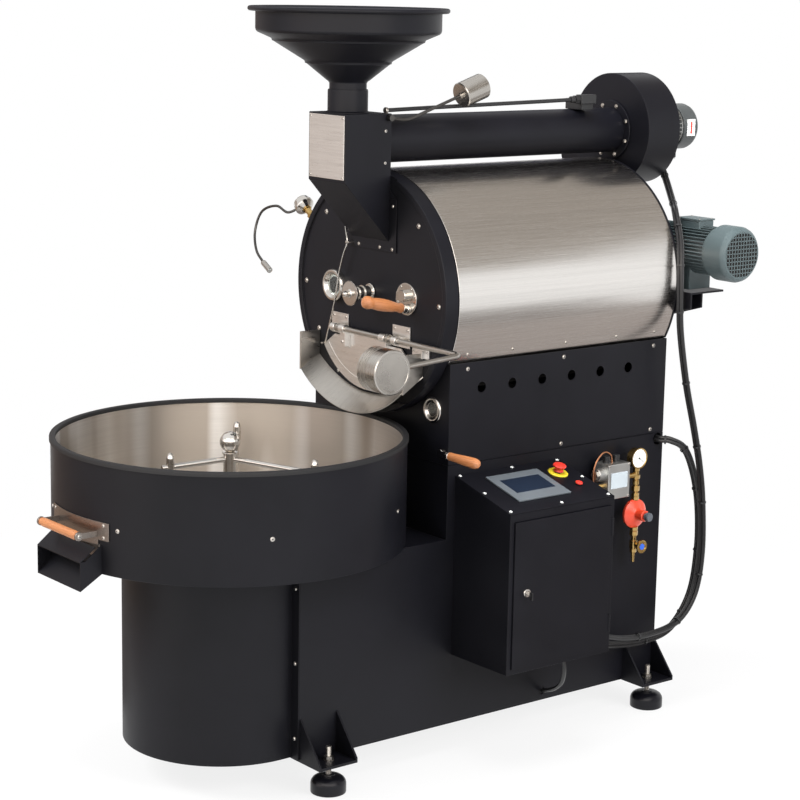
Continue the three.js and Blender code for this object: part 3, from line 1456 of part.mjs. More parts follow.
// Control cabinet: folded body, sloping panel, door leaf, lock, screen and buttons

const cabinetWall = bodyHalf + fit;
const cabinetOut = bodyHalf + cabinetReach;
const panelRise = (cabinetTopWall - cabinetTopFront) / cabinetReach;
const panelAngle = Math.atan(panelRise);
const panelPoint = (along, y, lift) => [
  bodyHalf + along * Math.cos(panelAngle) + lift * Math.sin(panelAngle), y,
  cabinetTopWall - along * Math.sin(panelAngle) + lift * Math.cos(panelAngle),
];
const panelNormal = [Math.sin(panelAngle), 0, Math.cos(panelAngle)];

// Outline of the cabinet in x and z, with its sloping top lowered by a drop
const cabinetOutline = (inset, drop, out) => [
  [cabinetWall + inset, cabinetBottom + inset], [out, cabinetBottom + inset],
  [out, cabinetTopWall - drop - panelRise * (out - bodyHalf)],
  [cabinetWall + inset, cabinetTopWall - drop - panelRise * (cabinetWall + inset - bodyHalf)],
];
const panelDrop = sheet / Math.cos(panelAngle);
const doorLow = cabinetBottom + doorFrame;
const doorHigh = cabinetTopFront - doorHeadGap;
const doorFront = cabinetFront + doorFrame;
const doorBack = cabinetBack - doorFrame;

function cabinetBody() {
  const outer = prism(cabinetOutline(0, panelDrop + fit, cabinetOut), 'y', cabinetFront, cabinetBack);
  const innerOut = cabinetOut - cabinetSheet;
  const inner = prism(cabinetOutline(cabinetSheet, -overrun, innerOut), 'y',
    cabinetFront + cabinetSheet, cabinetBack - cabinetSheet);
  const opening = (from, to, grow) => box(from, to, doorFront - grow, doorBack + grow,
    doorLow - grow, doorHigh + grow);
  const doorway = opening(innerOut - overrun, cabinetOut + overrun, -rebateWidth);
  const recess = opening(cabinetOut - leafSheet, cabinetOut + overrun, turning);
  const leadHoles = [[fanLeadPath, fanLeadRadius], [burnerLeadPath, burnerLeadRadius]].map(([path, radius]) => {
    const end = path[path.length - 1];
    return bar([end[0], cabinetBack - overrun, end[2]], [end[0], cabinetBack + overrun, end[2]],
      radius + sheet);
  });
  const jamb = cabinetSheet + leafSheet + fit;
  const rebate = cut(opening(cabinetOut - jamb, cabinetOut, rebateWidth), doorway, recess);
  return cut(join(cut(outer, inner), rebate), doorway, recess, ...leadHoles);
}
add('cabinet_body', cabinetBody(), blackPaint);

const hingePinY = doorBack + hingePinRadius + hingePinRadius;
const hingePinX = cabinetOut + hingePinRadius + fit;
const lockY = doorFront + lockInset;
const lockZ = doorLow + (doorHigh - doorLow) * lockHeightShare;

function cabinetDoor() {
  const back = cabinetOut - leafSheet + fit;
  const leaf = box(back, cabinetOut + leafFold, doorFront + fit, doorBack - fit, doorLow + fit, doorHigh - fit);
  const pocket = box(back - overrun, cabinetOut + leafFold - leafSheet, doorFront + leafFold, doorBack - leafFold,
    doorLow + leafFold, doorHigh - leafFold);
  const span = doorHigh - doorLow;
  const hinges = hingeHeightShares.map((share) => {
    const z = doorLow + span * share;
    const barrel = bar([hingePinX, hingePinY, z - hingeLength / 2], [hingePinX, hingePinY, z + hingeLength / 2],
      hingePinRadius, fittingSides);
    const leafArm = box(cabinetOut + turning, cabinetOut + leafFold, doorBack - leafFold, hingePinY,
      z - hingeLength / 2, z + hingeLength / 2);
    return join(barrel, leafArm);
  });
  const lockHole = bar([back - overrun, lockY, lockZ], [cabinetOut + overrun, lockY, lockZ],
    lockBarrelRadius + turning, smallSides);
  return cut(join(cut(leaf, pocket), ...hinges), lockHole);
}
add('cabinet_door', cabinetDoor(), blackPaint);

function doorLock() {
  const face = cabinetOut + leafFold + fit;
  const back = cabinetOut - lockReach;
  const barrel = bar([back, lockY, lockZ], [face, lockY, lockZ], lockBarrelRadius, smallSides);
  const cap = bar([face, lockY, lockZ], [face + lockCap, lockY, lockZ], lockRadius, smallSides);
  const key = box(face, face + lockReach, lockY - sheet / 2, lockY + sheet / 2,
    lockZ - keyHalf, lockZ + keyHalf);
  const cam = box(back, back + sheet, lockY - keyHalf, lockY + keyHalf, lockZ - keyHalf, lockZ + camReach);
  return join(barrel, cap, key, cam);
}
add('door_lock', doorLock(), polishedSteel);

function controlPanel() {
  const lid = prism([
    [cabinetWall, cabinetTopWall - panelRise * fit], [cabinetOut, cabinetTopFront],
    [cabinetOut, cabinetTopFront - panelDrop], [cabinetWall, cabinetTopWall - panelRise * fit - panelDrop],
  ], 'y', cabinetFront, cabinetBack);
  const ringAt = (lift) => panelPoint(stopAlong, stopY, lift);
  const stopRing = bar(ringAt(-sheet / 2), ringAt(stopRingHeight), stopRingRadius, midSides);
  const stopHole = bar(ringAt(-overrun), ringAt(overrun), stopStemRadius + fit, midSides);
  const startHole = bar(panelPoint(startAlong, startY, -overrun), panelPoint(startAlong, startY, overrun),
    startStemRadius + fit, smallSides);
  return cut(join(lid, stopRing), stopHole, startHole);
}
add('control_panel', controlPanel(), blackPaint);

function touchScreen() {
  const corner = (along, lift) => {
    const [x, , z] = panelPoint(along, 0, lift);
    return [x, z];
  };
  return prism([corner(screenStart, fit), corner(screenStart + screenLength, fit),
    corner(screenStart + screenLength, screenHeight), corner(screenStart, screenHeight)],
  'y', screenY, screenY + screenWidth);
}
add('touch_screen', touchScreen(), screenPlastic);

// A push button on the panel: its stem, then its head by shares of its radius and reach
function pushButton(along, y, [stemRadius, stemDepth], [radius, reach], neckShare, headShares, sides) {
  const head = headShares.map(([r, h]) => [r * radius, h * reach]);
  const stem = [[0, -stemDepth], [stemRadius, -stemDepth], [stemRadius, neckShare * reach]];
  return turned([...stem, ...head, [0, reach]], panelPoint(along, y, 0), panelNormal, sides);
}
const stopButton = pushButton(stopAlong, stopY, [stopStemRadius, stopStemDepth], [stopRadius, stopReach],
  stopNeckShare, stopProfileShares, midSides);
add('emergency_stop', stopButton, redPaint);

const [[, startNeckShare]] = startProfileShares;
const startButton = pushButton(startAlong, startY, [startStemRadius, startStemDepth], [startRadius, startReach],
  startNeckShare, startProfileShares, smallSides);
add('start_button', startButton, redPaint);

// Gas train: valve block, gauge with its brass stem, regulator with knob, cock with handwheel

const valveSideEnd = gasY - valveGasGap;
const valveTop = seamHeight - valveDrop;
const valveBottom = valveTop - valveHeight;

function gasValve() {
  const start = valveSideEnd - valveWidth;
  const seat = bodyHalf + valveBoss;
  const block = box(seat, bodyHalf + valveDepth, start, valveSideEnd, valveBottom, valveTop);
  const boss = box(bodyHalf + fit, seat + sheet, start + valveBossInset, valveSideEnd - valveBossInset,
    valveBottom + valveBossInset, valveTop - valveBossInset);
  const pilots = pilotShares.map((share) => {
    const y = start + valveWidth * share;
    return bar([gasX, y, valveTop - sheet], [gasX, y, valveTop + pilotHeight], brassNutRadius, fittingSides);
  });
  return join(block, boss, ...pilots);
}
add('gas_valve', gasValve(), silverCasting);

const gaugeHeight = seamHeight - gaugeDrop;
const brassBottom = gaugeHeight - brassLength;

function pressureGauge() {
  const stemTop = gaugeHeight - gaugeRadius;
  const dial = turned([
    [0, 0], [gaugeBackRadius, 0], [gaugeRadius, gaugeBackDepth], [gaugeRadius, gaugeDepth],
    [dialRadius, gaugeDepth], [dialRadius, dialDepth], [0, dialDepth],
  ], [gasX - gaugeDepth / 2, gasY, gaugeHeight], outward, midSides);
  const stem = bar([gasX, gasY, brassBottom], [gasX, gasY, stemTop + sheet], brassRadius);
  const nuts = brassNutShares.map((share) => {
    const z = brassBottom + (stemTop - brassBottom) * share;
    return bar([gasX, gasY, z], [gasX, gasY, z + brassNutRadius], brassNutRadius, nutSides);
  });
  const branchZ = (valveTop + valveBottom) / 2;
  const branch = bar([gasX, valveSideEnd + fit, branchZ], [gasX, gasY, branchZ], brassRadius);
  return join(dial, stem, ...nuts, branch);
}
add('pressure_gauge', pressureGauge(), brassMetal);

const regulatorTop = brassBottom - fit;
const regulatorHeight = regulatorTop - regulatorRadius - regulatorNeck;
const regulatorBottom = regulatorHeight - regulatorRadius - regulatorNeck;
const regulatorBack = gasX - regulatorDepth / 2;
const bonnetEnd = regulatorBack + regulatorDepth + bonnetReach;

function gasRegulator() {
  const [rimStart, rimEnd] = regulatorRimShares.map((share) => share * regulatorDepth);
  const disc = turned([
    [0, 0], [regulatorBackRadius, 0], [regulatorRadius, rimStart], [regulatorRadius, rimEnd],
    [regulatorFrontRadius, regulatorDepth], [bonnetRadius, regulatorDepth],
    [bonnetRadius, regulatorDepth + bonnetReach], [0, regulatorDepth + bonnetReach],
  ], [regulatorBack, gasY, regulatorHeight], outward, midSides);
  const neck = bar([gasX, gasY, regulatorBottom], [gasX, gasY, regulatorTop], brassNutRadius, fittingSides);
  return join(disc, neck);
}
add('gas_regulator', gasRegulator(), redPaint);

const regulatorKnob = turned([
  [0, fit], [regulatorKnobNeck, fit], [regulatorKnobRadius, regulatorKnobNeckReach],
  [regulatorKnobRadius, regulatorKnobReach], [0, regulatorKnobReach],
], [bonnetEnd, gasY, regulatorHeight], outward, smallSides);
add('regulator_knob', regulatorKnob, screenPlastic);

const cockTop = regulatorBottom - fit;
const cockHeight = cockTop - cockDrop;

function gasCock() {
  const along = (from, to, ...rest) => bar([gasX, gasY, from], [gasX, gasY, to], ...rest);
  const body = along(cockHeight - brassNutRadius, cockHeight + brassNutRadius, brassNutRadius, fittingSides);
  const upper = along(cockHeight, cockTop, brassRadius);
  const nut = along(cockTop - brassNutRadius, cockTop, brassNutRadius, nutSides);
  const nipple = along(cockHeight - nippleLength, cockHeight, nippleRadius, fittingSides, brassRadius);
  const stem = bar([gasX, gasY, cockHeight], [gasX + handwheelReach, gasY, cockHeight], brassRadius);
  return join(body, upper, nut, nipple, stem);
}
add('gas_cock', gasCock(), brassMetal);

const handwheel = turned([
  [0, fit], [handwheelHubRadius, fit], [handwheelHubRadius, handwheelHubDepth],
  [handwheelRadius, handwheelHubDepth], [handwheelRadius, handwheelDepth], [0, handwheelDepth],
], [gasX + handwheelReach, gasY, cockHeight], outward, smallSides);
add('gas_handwheel', handwheel, brassMetal);

// Work lamp: base on a short neck from the front plate's rim, gooseneck and head

const lampY = rimFront + lampFootRadius + sheet / 2;
const lampTurn = THREE.MathUtils.degToRad(lampAngle);
const lampDirection = [Math.cos(lampTurn), 0, Math.sin(lampTurn)];
const fromAxis = (radius) => [radius * lampDirection[0], lampY, drumAxis + radius * lampDirection[2]];

function workLamp() {
  const seat = faceRadius + fit;
  const neckEnd = seat + lampNeck;
  const [neckStart, neckTop] = lampNeckShares.map((share) => seat + lampNeck * share);
  const [rimEnd, crown] = lampBaseShares.map((share) => neckEnd + lampBaseDepth * share);
  const base = turned([
    [0, seat], [lampFootRadius, seat], [lampNeckRadius, neckStart], [lampNeckRadius, neckTop],
    [lampBaseRadius, neckEnd], [lampBaseRadius, rimEnd], [lampBaseCrownRadius, crown],
    [0, neckEnd + lampBaseDepth],
  ], [0, lampY, drumAxis], lampDirection, smallSides);
  const start = fromAxis(neckEnd + lampBaseDepth * gooseneckRootShare);
  const placed = ([x, y, z]) => [x, lampY + y, drumAxis + z];
  const path = gooseneckPath.map(placed);
  const goose = lead([start, ...path], gooseneckRadius, 18);
  const joint = new THREE.Vector3(...path[path.length - 1]);
  const aim = new THREE.Vector3(...placed(lampAim)).sub(joint).normalize();
  const from = joint.clone().addScaledVector(aim, -gooseneckRadius);
  const to = joint.clone().addScaledVector(aim, lampHeadLength);
  const head = bar(from.toArray(), to.toArray(), lampHeadRadius, smallSides);
  return join(base, goose, head);
}
add('work_lamp', workLamp(), polishedSteel);

// Air lever: shaft through the front wall, boss and arm at the corner, turned handle

const airShaftX = bodyHalf - airShaftInset;
const airGripStart = airShaftX + airBoss + airArmReach;
const airY = -airBoss;

function airLever() {
  const front = [airShaftX, airY - airPlate, airLeverHeight];
  const along = (to, ...rest) => bar(front, [airShaftX, to, airLeverHeight], ...rest);
  const shaft = along(airShaftInside, airShaftRadius);
  const boss = along(-sheet, airBoss, smallSides);
  const arm = bar([airShaftX, airY, airLeverHeight], [airGripStart, airY, airLeverHeight], airShaftRadius);
  return join(shaft, boss, arm);
}
add('air_lever', airLever(), polishedSteel);
const airGrip = turnedGrip([airGripStart + fit, airY, airLeverHeight], outward, airGripRadius, airGripLength);
add('air_lever_handle', airGrip, turnedWood);

// Leads that run between the housings

add('fan_lead', lead(fanLeadPath, fanLeadRadius, 30), blackRubber);
add('burner_lead', lead(burnerLeadPath, burnerLeadRadius, 20), blackRubber);
add('cabinet_lead', lead(cabinetLeadPath, cabinetLeadRadius, 12), blackRubber);

// The origin is the middle of the machine's footprint on the floor
const extent = new THREE.Box3().setFromObject(roaster);
const middle = extent.getCenter(new THREE.Vector3());
roaster.position.set(-middle.x, -middle.y, -extent.min.z);
roaster.updateMatrixWorld(true);

export default roaster;
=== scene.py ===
"""Looks of a shop coffee roaster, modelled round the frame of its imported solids.

Every shape is drawn in millimetres: x from the middle of the drum, y from the jacket's front edge
towards the back, z from the floor. A finished piece is then set in the frame in metres.
"""

import math

import bmesh
import bpy
from mathutils import Matrix, Vector


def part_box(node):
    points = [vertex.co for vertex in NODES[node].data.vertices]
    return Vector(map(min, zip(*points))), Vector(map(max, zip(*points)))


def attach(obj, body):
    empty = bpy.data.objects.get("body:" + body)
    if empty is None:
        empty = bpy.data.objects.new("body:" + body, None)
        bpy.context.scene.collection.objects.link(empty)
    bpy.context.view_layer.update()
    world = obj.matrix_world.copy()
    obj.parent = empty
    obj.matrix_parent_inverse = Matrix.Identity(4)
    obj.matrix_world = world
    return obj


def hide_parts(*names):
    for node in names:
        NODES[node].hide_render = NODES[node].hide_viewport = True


bl_info = {
    "name": "Shop Coffee Roaster",
    "version": (1, 0, 0),
    "blender": (4, 5, 0),
    "location": "3D View > Sidebar > Roaster",
    "description": "Smooth shapes and finishes for a drum coffee roaster with its cooling tray",
    "category": "Object",
}

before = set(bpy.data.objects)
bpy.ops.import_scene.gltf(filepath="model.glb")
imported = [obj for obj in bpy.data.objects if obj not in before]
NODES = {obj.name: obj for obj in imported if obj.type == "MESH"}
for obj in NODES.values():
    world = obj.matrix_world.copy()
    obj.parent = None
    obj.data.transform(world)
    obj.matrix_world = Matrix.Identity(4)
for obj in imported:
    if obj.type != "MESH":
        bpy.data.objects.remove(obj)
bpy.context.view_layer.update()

_low, _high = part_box("drum_jacket")
ORIGIN = Vector(((_low.x + _high.x) / 2, _low.y, 0))
MM = 0.001
TO_ROW = Matrix.Translation(ORIGIN) @ Matrix.Scale(MM, 4)

ROUND = 192
FINE = 128
EVEN = 96
MID = 64
SMALL = 32
TINY = 12
SHARP = math.radians(38)
CORNER = math.radians(35)
FLAT = math.radians(0.05)
MERGE = 0.001
WELD = 0.02 * MM
FIT = 0.3
SHEET = 3.0

FORWARD = (0, -1, 0)
BACKWARD = (0, 1, 0)
UP = (0, 0, 1)
OUT = (1, 0, 0)

# Places on the machine that many pieces share
DRUM_Z = 1321.6
FACE_Y = -41.0
ROD_Y = -65.0
ROD_Z = 1201.0
BODY_HALF = 320.0
BODY_DEPTH = 859.0
TRAY_Y = -527.5
TRAY_RADIUS = 496
TRAY_FRONT = TRAY_Y - TRAY_RADIUS
GATE_RADIUS = 499.3
SEAT_Y = FACE_Y - FIT
JACKET_RADIUS = 355
HINGES = {"left": -139, "right": 152}
VENTS = [(118 + 116 * i, 1075) for i in range(6)]
HOPPER_Y = -132
SIGHT_X = -165
WEIGHT_X = 443
FIRE_X, FIRE_Z = 247, 1010
AIR_X, AIR_Z = 304, 893
OUTLET_Y, OUTLET_Z = 962.5, 1674
STOP_PLACE = (78, 355)
START_PLACE = (158, 366)
DRUM_AXIS = (0, 0, DRUM_Z)
PIPE_Z = 1761
FAN_Z = 1764
GAS_X = 365.0
GAS_Y = 705.0


# Shapes

def tidy(shape):
    """Merges a shape's doubles and turns its faces outwards."""
    bmesh.ops.remove_doubles(shape, verts=shape.verts, dist=MERGE)
    bmesh.ops.recalc_face_normals(shape, faces=shape.faces)
    return shape


def round_edges(shape, offset, segments=2, angle=30):
    """Bevels every edge of a shape that turns by more than an angle in degrees."""
    edges = [e for e in shape.edges if e.calc_face_angle(0) > math.radians(angle)]
    bmesh.ops.bevel(shape, geom=edges, offset=offset, offset_type="OFFSET", segments=segments,
                    profile=0.5, affect="EDGES", clamp_overlap=True, material=-1)
    return shape


def lathe(profile, origin, axis, steps=MID, ring=False):
    """Turns a profile of (radius, height) points round an axis."""
    shape = bmesh.new()
    points = [shape.verts.new((radius, 0, height)) for radius, height in profile]
    edges = [shape.edges.new(pair) for pair in zip(points, points[1:])]
    if ring:
        edges.append(shape.edges.new((points[-1], points[0])))
    bmesh.ops.spin(shape, geom=points + edges, cent=(0, 0, 0), axis=UP, angle=math.tau,
                   steps=steps, use_merge=True)
    turn = Vector(UP).rotation_difference(Vector(axis))
    shape.transform(Matrix.LocRotScale(Vector(origin), turn, None))
    return tidy(shape)


def slug(radius, low, high, origin, axis, steps=SMALL):
    """A plain disc or bar between two heights on an axis."""
    return lathe([(0, low), (radius, low), (radius, high), (0, high)], origin, axis, steps)


def washer(inner, outer, low, high, origin, axis, steps=SMALL):
    """A plain ring between two heights on an axis."""
    return lathe([(inner, low), (outer, low), (outer, high), (inner, high)], origin, axis, steps, True)


def rod(start, end, radius, edge=0.0, steps=SMALL):
    """A round bar between two points, with broken edges."""
    run = Vector(end) - Vector(start)
    length = run.length
    if not edge:
        return slug(radius, 0, length, start, run, steps)
    inner = radius - edge
    profile = [(0, 0), (inner, 0), (radius, edge), (radius, length - edge), (inner, length), (0, length)]
    return lathe(profile, start, run, steps)


AXES = {
    "x": Matrix(((0, 0, 1, 0), (1, 0, 0, 0), (0, 1, 0, 0), (0, 0, 0, 1))),
    "y": Matrix(((1, 0, 0, 0), (0, 0, 1, 0), (0, 1, 0, 0), (0, 0, 0, 1))),
    "z": Matrix.Identity(4),
}


def prism(outline, axis, start, end, edge=0.0, segments=2):
    """A flat outline pushed along an axis: (y, z) along x, (x, z) along y and (x, y) along z."""
    shape = bmesh.new()
    face = shape.faces.new([shape.verts.new((u, v, start)) for u, v in outline])
    grown = bmesh.ops.extrude_face_region(shape, geom=[face])["geom"]
    far = [item for item in grown if isinstance(item, bmesh.types.BMVert)]
    bmesh.ops.translate(shape, verts=far, vec=(0, 0, end - start))
    shape.transform(AXES[axis])
    tidy(shape)
    return round_edges(shape, edge, segments) if edge else shape


def block(low, high, edge=0.0, segments=2):
    """A box from its lowest to its highest corner."""
    outline = [(low[0], low[1]), (high[0], low[1]), (high[0], high[1]), (low[0], high[1])]
    return prism(outline, "z", low[2], high[2], edge, segments)


def ball(centre, radius, steps=SMALL):
    """A closed ball."""
    count = steps // 2
    turns = [math.pi * i / count for i in range(count + 1)]
    profile = [(radius * math.sin(a), -radius * math.cos(a)) for a in turns]
    profile[0], profile[-1] = (0, -radius), (0, radius)
    return lathe(profile, centre, UP, steps)


def arc(cx, cy, radius, start, end, steps):
    """Points of an arc, with its angles in degrees."""
    angles = [math.radians(start + (end - start) * i / steps) for i in range(steps + 1)]
    return [(cx + radius * math.cos(a), cy + radius * math.sin(a)) for a in angles]


def smooth_line(points, steps):
    """Points along a smooth line through the given ones, as evenly spread as they are."""
    points = [Vector(p) for p in points]
    padded = [2 * points[0] - points[1], *points, 2 * points[-1] - points[-2]]
    found = []
    for a, b, c, d in zip(padded, padded[1:], padded[2:], padded[3:]):
        for i in range(steps):
            t = i / steps
            found.append(0.5 * (2 * b + (c - a) * t + (2 * a - 5 * b + 4 * c - d) * t ** 2
                                + (3 * b - a - 3 * c + d) * t ** 3))
    return [*found, points[-1]]


def linked(name, data):
    """A new object of the scene with the given data."""
    item = bpy.data.objects.new(name, data)
    bpy.context.scene.collection.objects.link(item)
    return item


def mesh_of(shape, name="shape"):
    """A shape as a mesh, which ends the shape."""
    mesh = bpy.data.meshes.new(name)
    shape.to_mesh(mesh)
    shape.free()
    return mesh


def pour(mesh, whole):
    """Adds a short-lived mesh to a shape."""
    whole.from_mesh(mesh)
    bpy.data.meshes.remove(mesh)
    return whole


def evaluated(holder):
    """The shape of an object with its modifiers."""
    holder = holder.evaluated_get(bpy.context.evaluated_depsgraph_get())
    return pour(bpy.data.meshes.new_from_object(holder), bmesh.new())


def tube(points, radius, sides=16):
    """A closed tube of one radius along a line of points."""
    curve = bpy.data.curves.new("line", "CURVE")
    curve.dimensions = "3D"
    curve.bevel_depth = radius
    curve.bevel_resolution = max(sides // 4 - 1, 0)
    curve.use_fill_caps = True
    spline = curve.splines.new("POLY")
    spline.points.add(len(points) - 1)
    for point, place in zip(spline.points, points):
        point.co = (*place, 1)
    holder = linked("line", curve)
    shape = evaluated(holder)
    bpy.data.objects.remove(holder)
    bpy.data.curves.remove(curve)
    return tidy(shape)


def bent(points, radius, bend, sides=16):
    """A rod along straight runs, with each corner bent to a radius."""
    points = [Vector(p) for p in points]
    line = [points[0]]
    for before, corner, after in zip(points, points[1:], points[2:]):
        start = corner + (before - corner).normalized() * bend
        end = corner + (after - corner).normalized() * bend
        line += [(1 - t) ** 2 * start + 2 * t * (1 - t) * corner + t ** 2 * end
                 for t in (i / 8 for i in range(9))]
    return tube([*line, points[-1]], radius, sides)


def together(whole, *shapes):
    """Several shapes as one."""
    for shape in shapes:
        pour(mesh_of(shape), whole)
    return whole


def carve(shape, *cutters, operation="DIFFERENCE"):
    """Cuts closed shapes out of a closed shape."""
    body, *tools = [linked("shape", mesh_of(part)) for part in (shape, *cutters)]
    for tool in tools:
        modifier = body.modifiers.new("cut", "BOOLEAN")
        modifier.operation = operation
        modifier.solver = "EXACT"
        modifier.object = tool
    bpy.context.view_layer.update()
    result = evaluated(body)
    for holder in (body, *tools):
        old = holder.data
        bpy.data.objects.remove(holder)
        bpy.data.meshes.remove(old)
    bmesh.ops.dissolve_limit(result, angle_limit=FLAT, verts=result.verts, edges=result.edges)
    return tidy(result)


def join(shape, *others):
    """Joins closed shapes to a closed shape."""
    return carve(shape, *others, operation="UNION")


def moved(shape, x=0.0, y=0.0, z=0.0):
    """A shape shifted by some millimetres."""
    shape.transform(Matrix.Translation((x, y, z)))
    return shape


def turned_about(shape, centre, angle, axis="Z"):
    """A shape turned by degrees about a point."""
    centre = Vector(centre)
    spin = Matrix.Translation(centre) @ Matrix.Rotation(math.radians(angle), 4, axis) @ Matrix.Translation(-centre)
    shape.transform(spin)
    return shape


class Piece:
    """A piece in the making: closed shapes in drawing millimetres, each with its finish."""

    def __init__(self, name, finish):
        self.name = name
        self.finish = finish
        self.whole = bmesh.new()
        self.finishes = []

    def add(self, shape, finish=None):
        """Adds a shape, in the piece's own finish if none is given."""
        finish = finish or self.finish
        if finish not in self.finishes:
            self.finishes.append(finish)
        number = self.finishes.index(finish)
        for face in shape.faces:
            face.material_index = number
        pour(mesh_of(shape), self.whole)
        return self

    def done(self, body, replaces=()):
        """Sets the piece in the frame, on its body."""
        self.whole.transform(TO_ROW)
        mesh = mesh_of(self.whole, self.name)
        for finish in self.finishes:
            mesh.materials.append(made_finish(finish))
        mesh.shade_smooth()
        mesh.set_sharp_from_angle(angle=SHARP)
        piece = linked(self.name, mesh)
        normals = piece.modifiers.new("even_shading", "WEIGHTED_NORMAL")
        normals.keep_sharp = True
        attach(piece, body)
        if replaces:
            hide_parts(*replaces)
        return piece


def dress(node, finish, edge=1.2):
    """Gives a frame node its finish and slightly broken edges."""
    solid = NODES[node]
    solid.data.materials.clear()
    solid.data.materials.append(made_finish(finish))
    if edge:
        weld = solid.modifiers.new("weld", "WELD")
        weld.merge_threshold = WELD
        bevel = solid.modifiers.new("broken_edges", "BEVEL")
        bevel.width = edge * MM
        bevel.segments = 2
        bevel.limit_method = "ANGLE"
        bevel.angle_limit = CORNER
        bevel.use_clamp_overlap = True
    return solid


# Finishes

def set_socket(tree, socket, value):
    """Gives a socket a value, or a link from another socket."""
    if isinstance(value, bpy.types.NodeSocket):
        tree.links.new(value, socket)
    else:
        socket.default_value = value


def node(tree, kind, output, **inputs):
    """One output of a new shader node with the inputs given."""
    made = tree.nodes.new("ShaderNode" + kind)
    for label, value in inputs.items():
        set_socket(tree, made.inputs[label.replace("_", " ")], value)
    return made.outputs[output]


def maths(tree, kind, operation, output, *values):
    """One output of a new Math or VectorMath node."""
    made = tree.nodes.new("ShaderNode" + kind)
    made.operation = operation
    for socket, value in zip(made.inputs, values):
        set_socket(tree, socket, value)
    return made.outputs[output]


def noise(tree, vector, scale, detail=2.0, roughness=0.5):
    return node(tree, "TexNoise", "Fac", Vector=vector, Scale=scale, Detail=detail, Roughness=roughness)


def spread(tree, value, low, high):
    """Brings a value between 0 and 1 to a range."""
    return node(tree, "MapRange", "Result", Value=value, To_Min=low, To_Max=high)


def sharpen(tree, value, low=0.3, high=0.7):
    """Stretches the middle of a value to the whole of 0 to 1."""
    return node(tree, "MapRange", "Result", Value=value, From_Min=low, From_Max=high)


def blend_colours(tree, mask, first, second):
    """A mask's mix of two colours, each a value or a socket."""
    mix = tree.nodes.new("ShaderNodeMix")
    mix.data_type = "RGBA"
    tree.links.new(mask, mix.inputs["Factor"])
    for label, colour in (("A", first), ("B", second)):
        socket = next(s for s in mix.inputs if s.name == label and s.type == "RGBA")
        set_socket(tree, socket, colour if isinstance(colour, bpy.types.NodeSocket) else (*colour[:3], 1))
    return next(s for s in mix.outputs if s.type == "RGBA")


def shade(colour, share):
    """A colour made darker or lighter."""
    return [min(c * share, 1) for c in colour[:3]]


def paint_grain(tree, given):
    """The fine orange peel of sprayed paint, and its slow change from place to place."""
    grain = noise(tree, given["Vector"], given["Grain Scale"], 2.0, 0.55)
    return grain, sharpen(tree, noise(tree, given["Vector"], 5.0, 3.0, 0.6))


def brush_lines(tree, given):
    """The long lines that a belt leaves in sheet steel, drawn along the squeezed axis of the vector."""
    fine = noise(tree, given["Vector"], 1.0, 3.0, 0.7)
    broad = noise(tree, given["Vector"], 0.12, 2.0, 0.6)
    return sharpen(tree, fine), sharpen(tree, broad)


def wood_figure(tree, given):
    """Growth rings seen along a turned handle, with short pores."""
    wave = tree.nodes.new("ShaderNodeTexWave")
    wave.wave_type = "RINGS"
    for label, value in (("Scale", 0.9), ("Distortion", 5.0), ("Detail", 3.0), ("Detail Scale", 1.2)):
        wave.inputs[label].default_value = value
    tree.links.new(given["Vector"], wave.inputs["Vector"])
    pores = noise(tree, given["Vector"], 6.0, 3.0, 0.7)
    return wave.outputs["Fac"], sharpen(tree, pores, 0.35, 0.65)


def hole_grid(tree, given):
    """Round holes of a perforated sheet seen from above: 1 in a hole, 0 between."""
    cells = tree.nodes.new("ShaderNodeTexVoronoi")
    cells.voronoi_dimensions = "2D"
    cells.inputs["Scale"].default_value = 1.0
    cells.inputs["Randomness"].default_value = 0.0
    tree.links.new(given["Vector"], cells.inputs["Vector"])
    return (sharpen(tree, cells.outputs["Distance"], 0.27, 0.23),)


# What each shared effect puts out, and the values it takes besides its vector
EFFECTS = {
    paint_grain: (("Grain", "Cloud"), {"Grain Scale": 700.0}),
    brush_lines: (("Lines", "Shade"), {}),
    wood_figure: (("Rings", "Pores"), {}),
    hole_grid: (("Holes",), {}),
}
GROUPS = {}


def use_group(tree, effect, vector, **values):
    """Places a shared effect's node group, made when it is first used, and gives its outputs."""
    if effect not in GROUPS:
        results, extra = EFFECTS[effect]
        group = GROUPS[effect] = bpy.data.node_groups.new(effect.__name__, "ShaderNodeTree")
        group.interface.new_socket("Vector", in_out="INPUT", socket_type="NodeSocketVector")
        for label, default in extra.items():
            socket = group.interface.new_socket(label, in_out="INPUT", socket_type="NodeSocketFloat")
            socket.default_value = default
        for label in results:
            group.interface.new_socket(label, in_out="OUTPUT", socket_type="NodeSocketFloat")
        given, result = group.nodes.new("NodeGroupInput"), group.nodes.new("NodeGroupOutput")
        for label, value in zip(results, effect(group, given.outputs)):
            group.links.new(value, result.inputs[label])
    placed = tree.nodes.new("ShaderNodeGroup")
    placed.node_tree = GROUPS[effect]
    for label, value in {"Vector": vector, **values}.items():
        set_socket(tree, placed.inputs[label.replace("_", " ")], value)
    return placed.outputs


def surface(name, colour, roughness, metallic=0.0, specular=0.5):
    """A new material with its shader and the Object coordinates."""
    material = bpy.data.materials.new(name)
    material.use_nodes = True
    tree = material.node_tree
    shader = tree.nodes["Principled BSDF"]
    shader.inputs["Base Color"].default_value = (*colour[:3], 1)
    shader.inputs["Roughness"].default_value = roughness
    shader.inputs["Metallic"].default_value = metallic
    shader.inputs["Specular IOR Level"].default_value = specular
    place = tree.nodes.new("ShaderNodeTexCoord").outputs["Object"]
    return material, tree, shader, place


def squeezed(tree, place, scale):
    """Object coordinates stretched by a scale on each axis."""
    return node(tree, "Mapping", "Vector", Vector=place, Scale=scale)


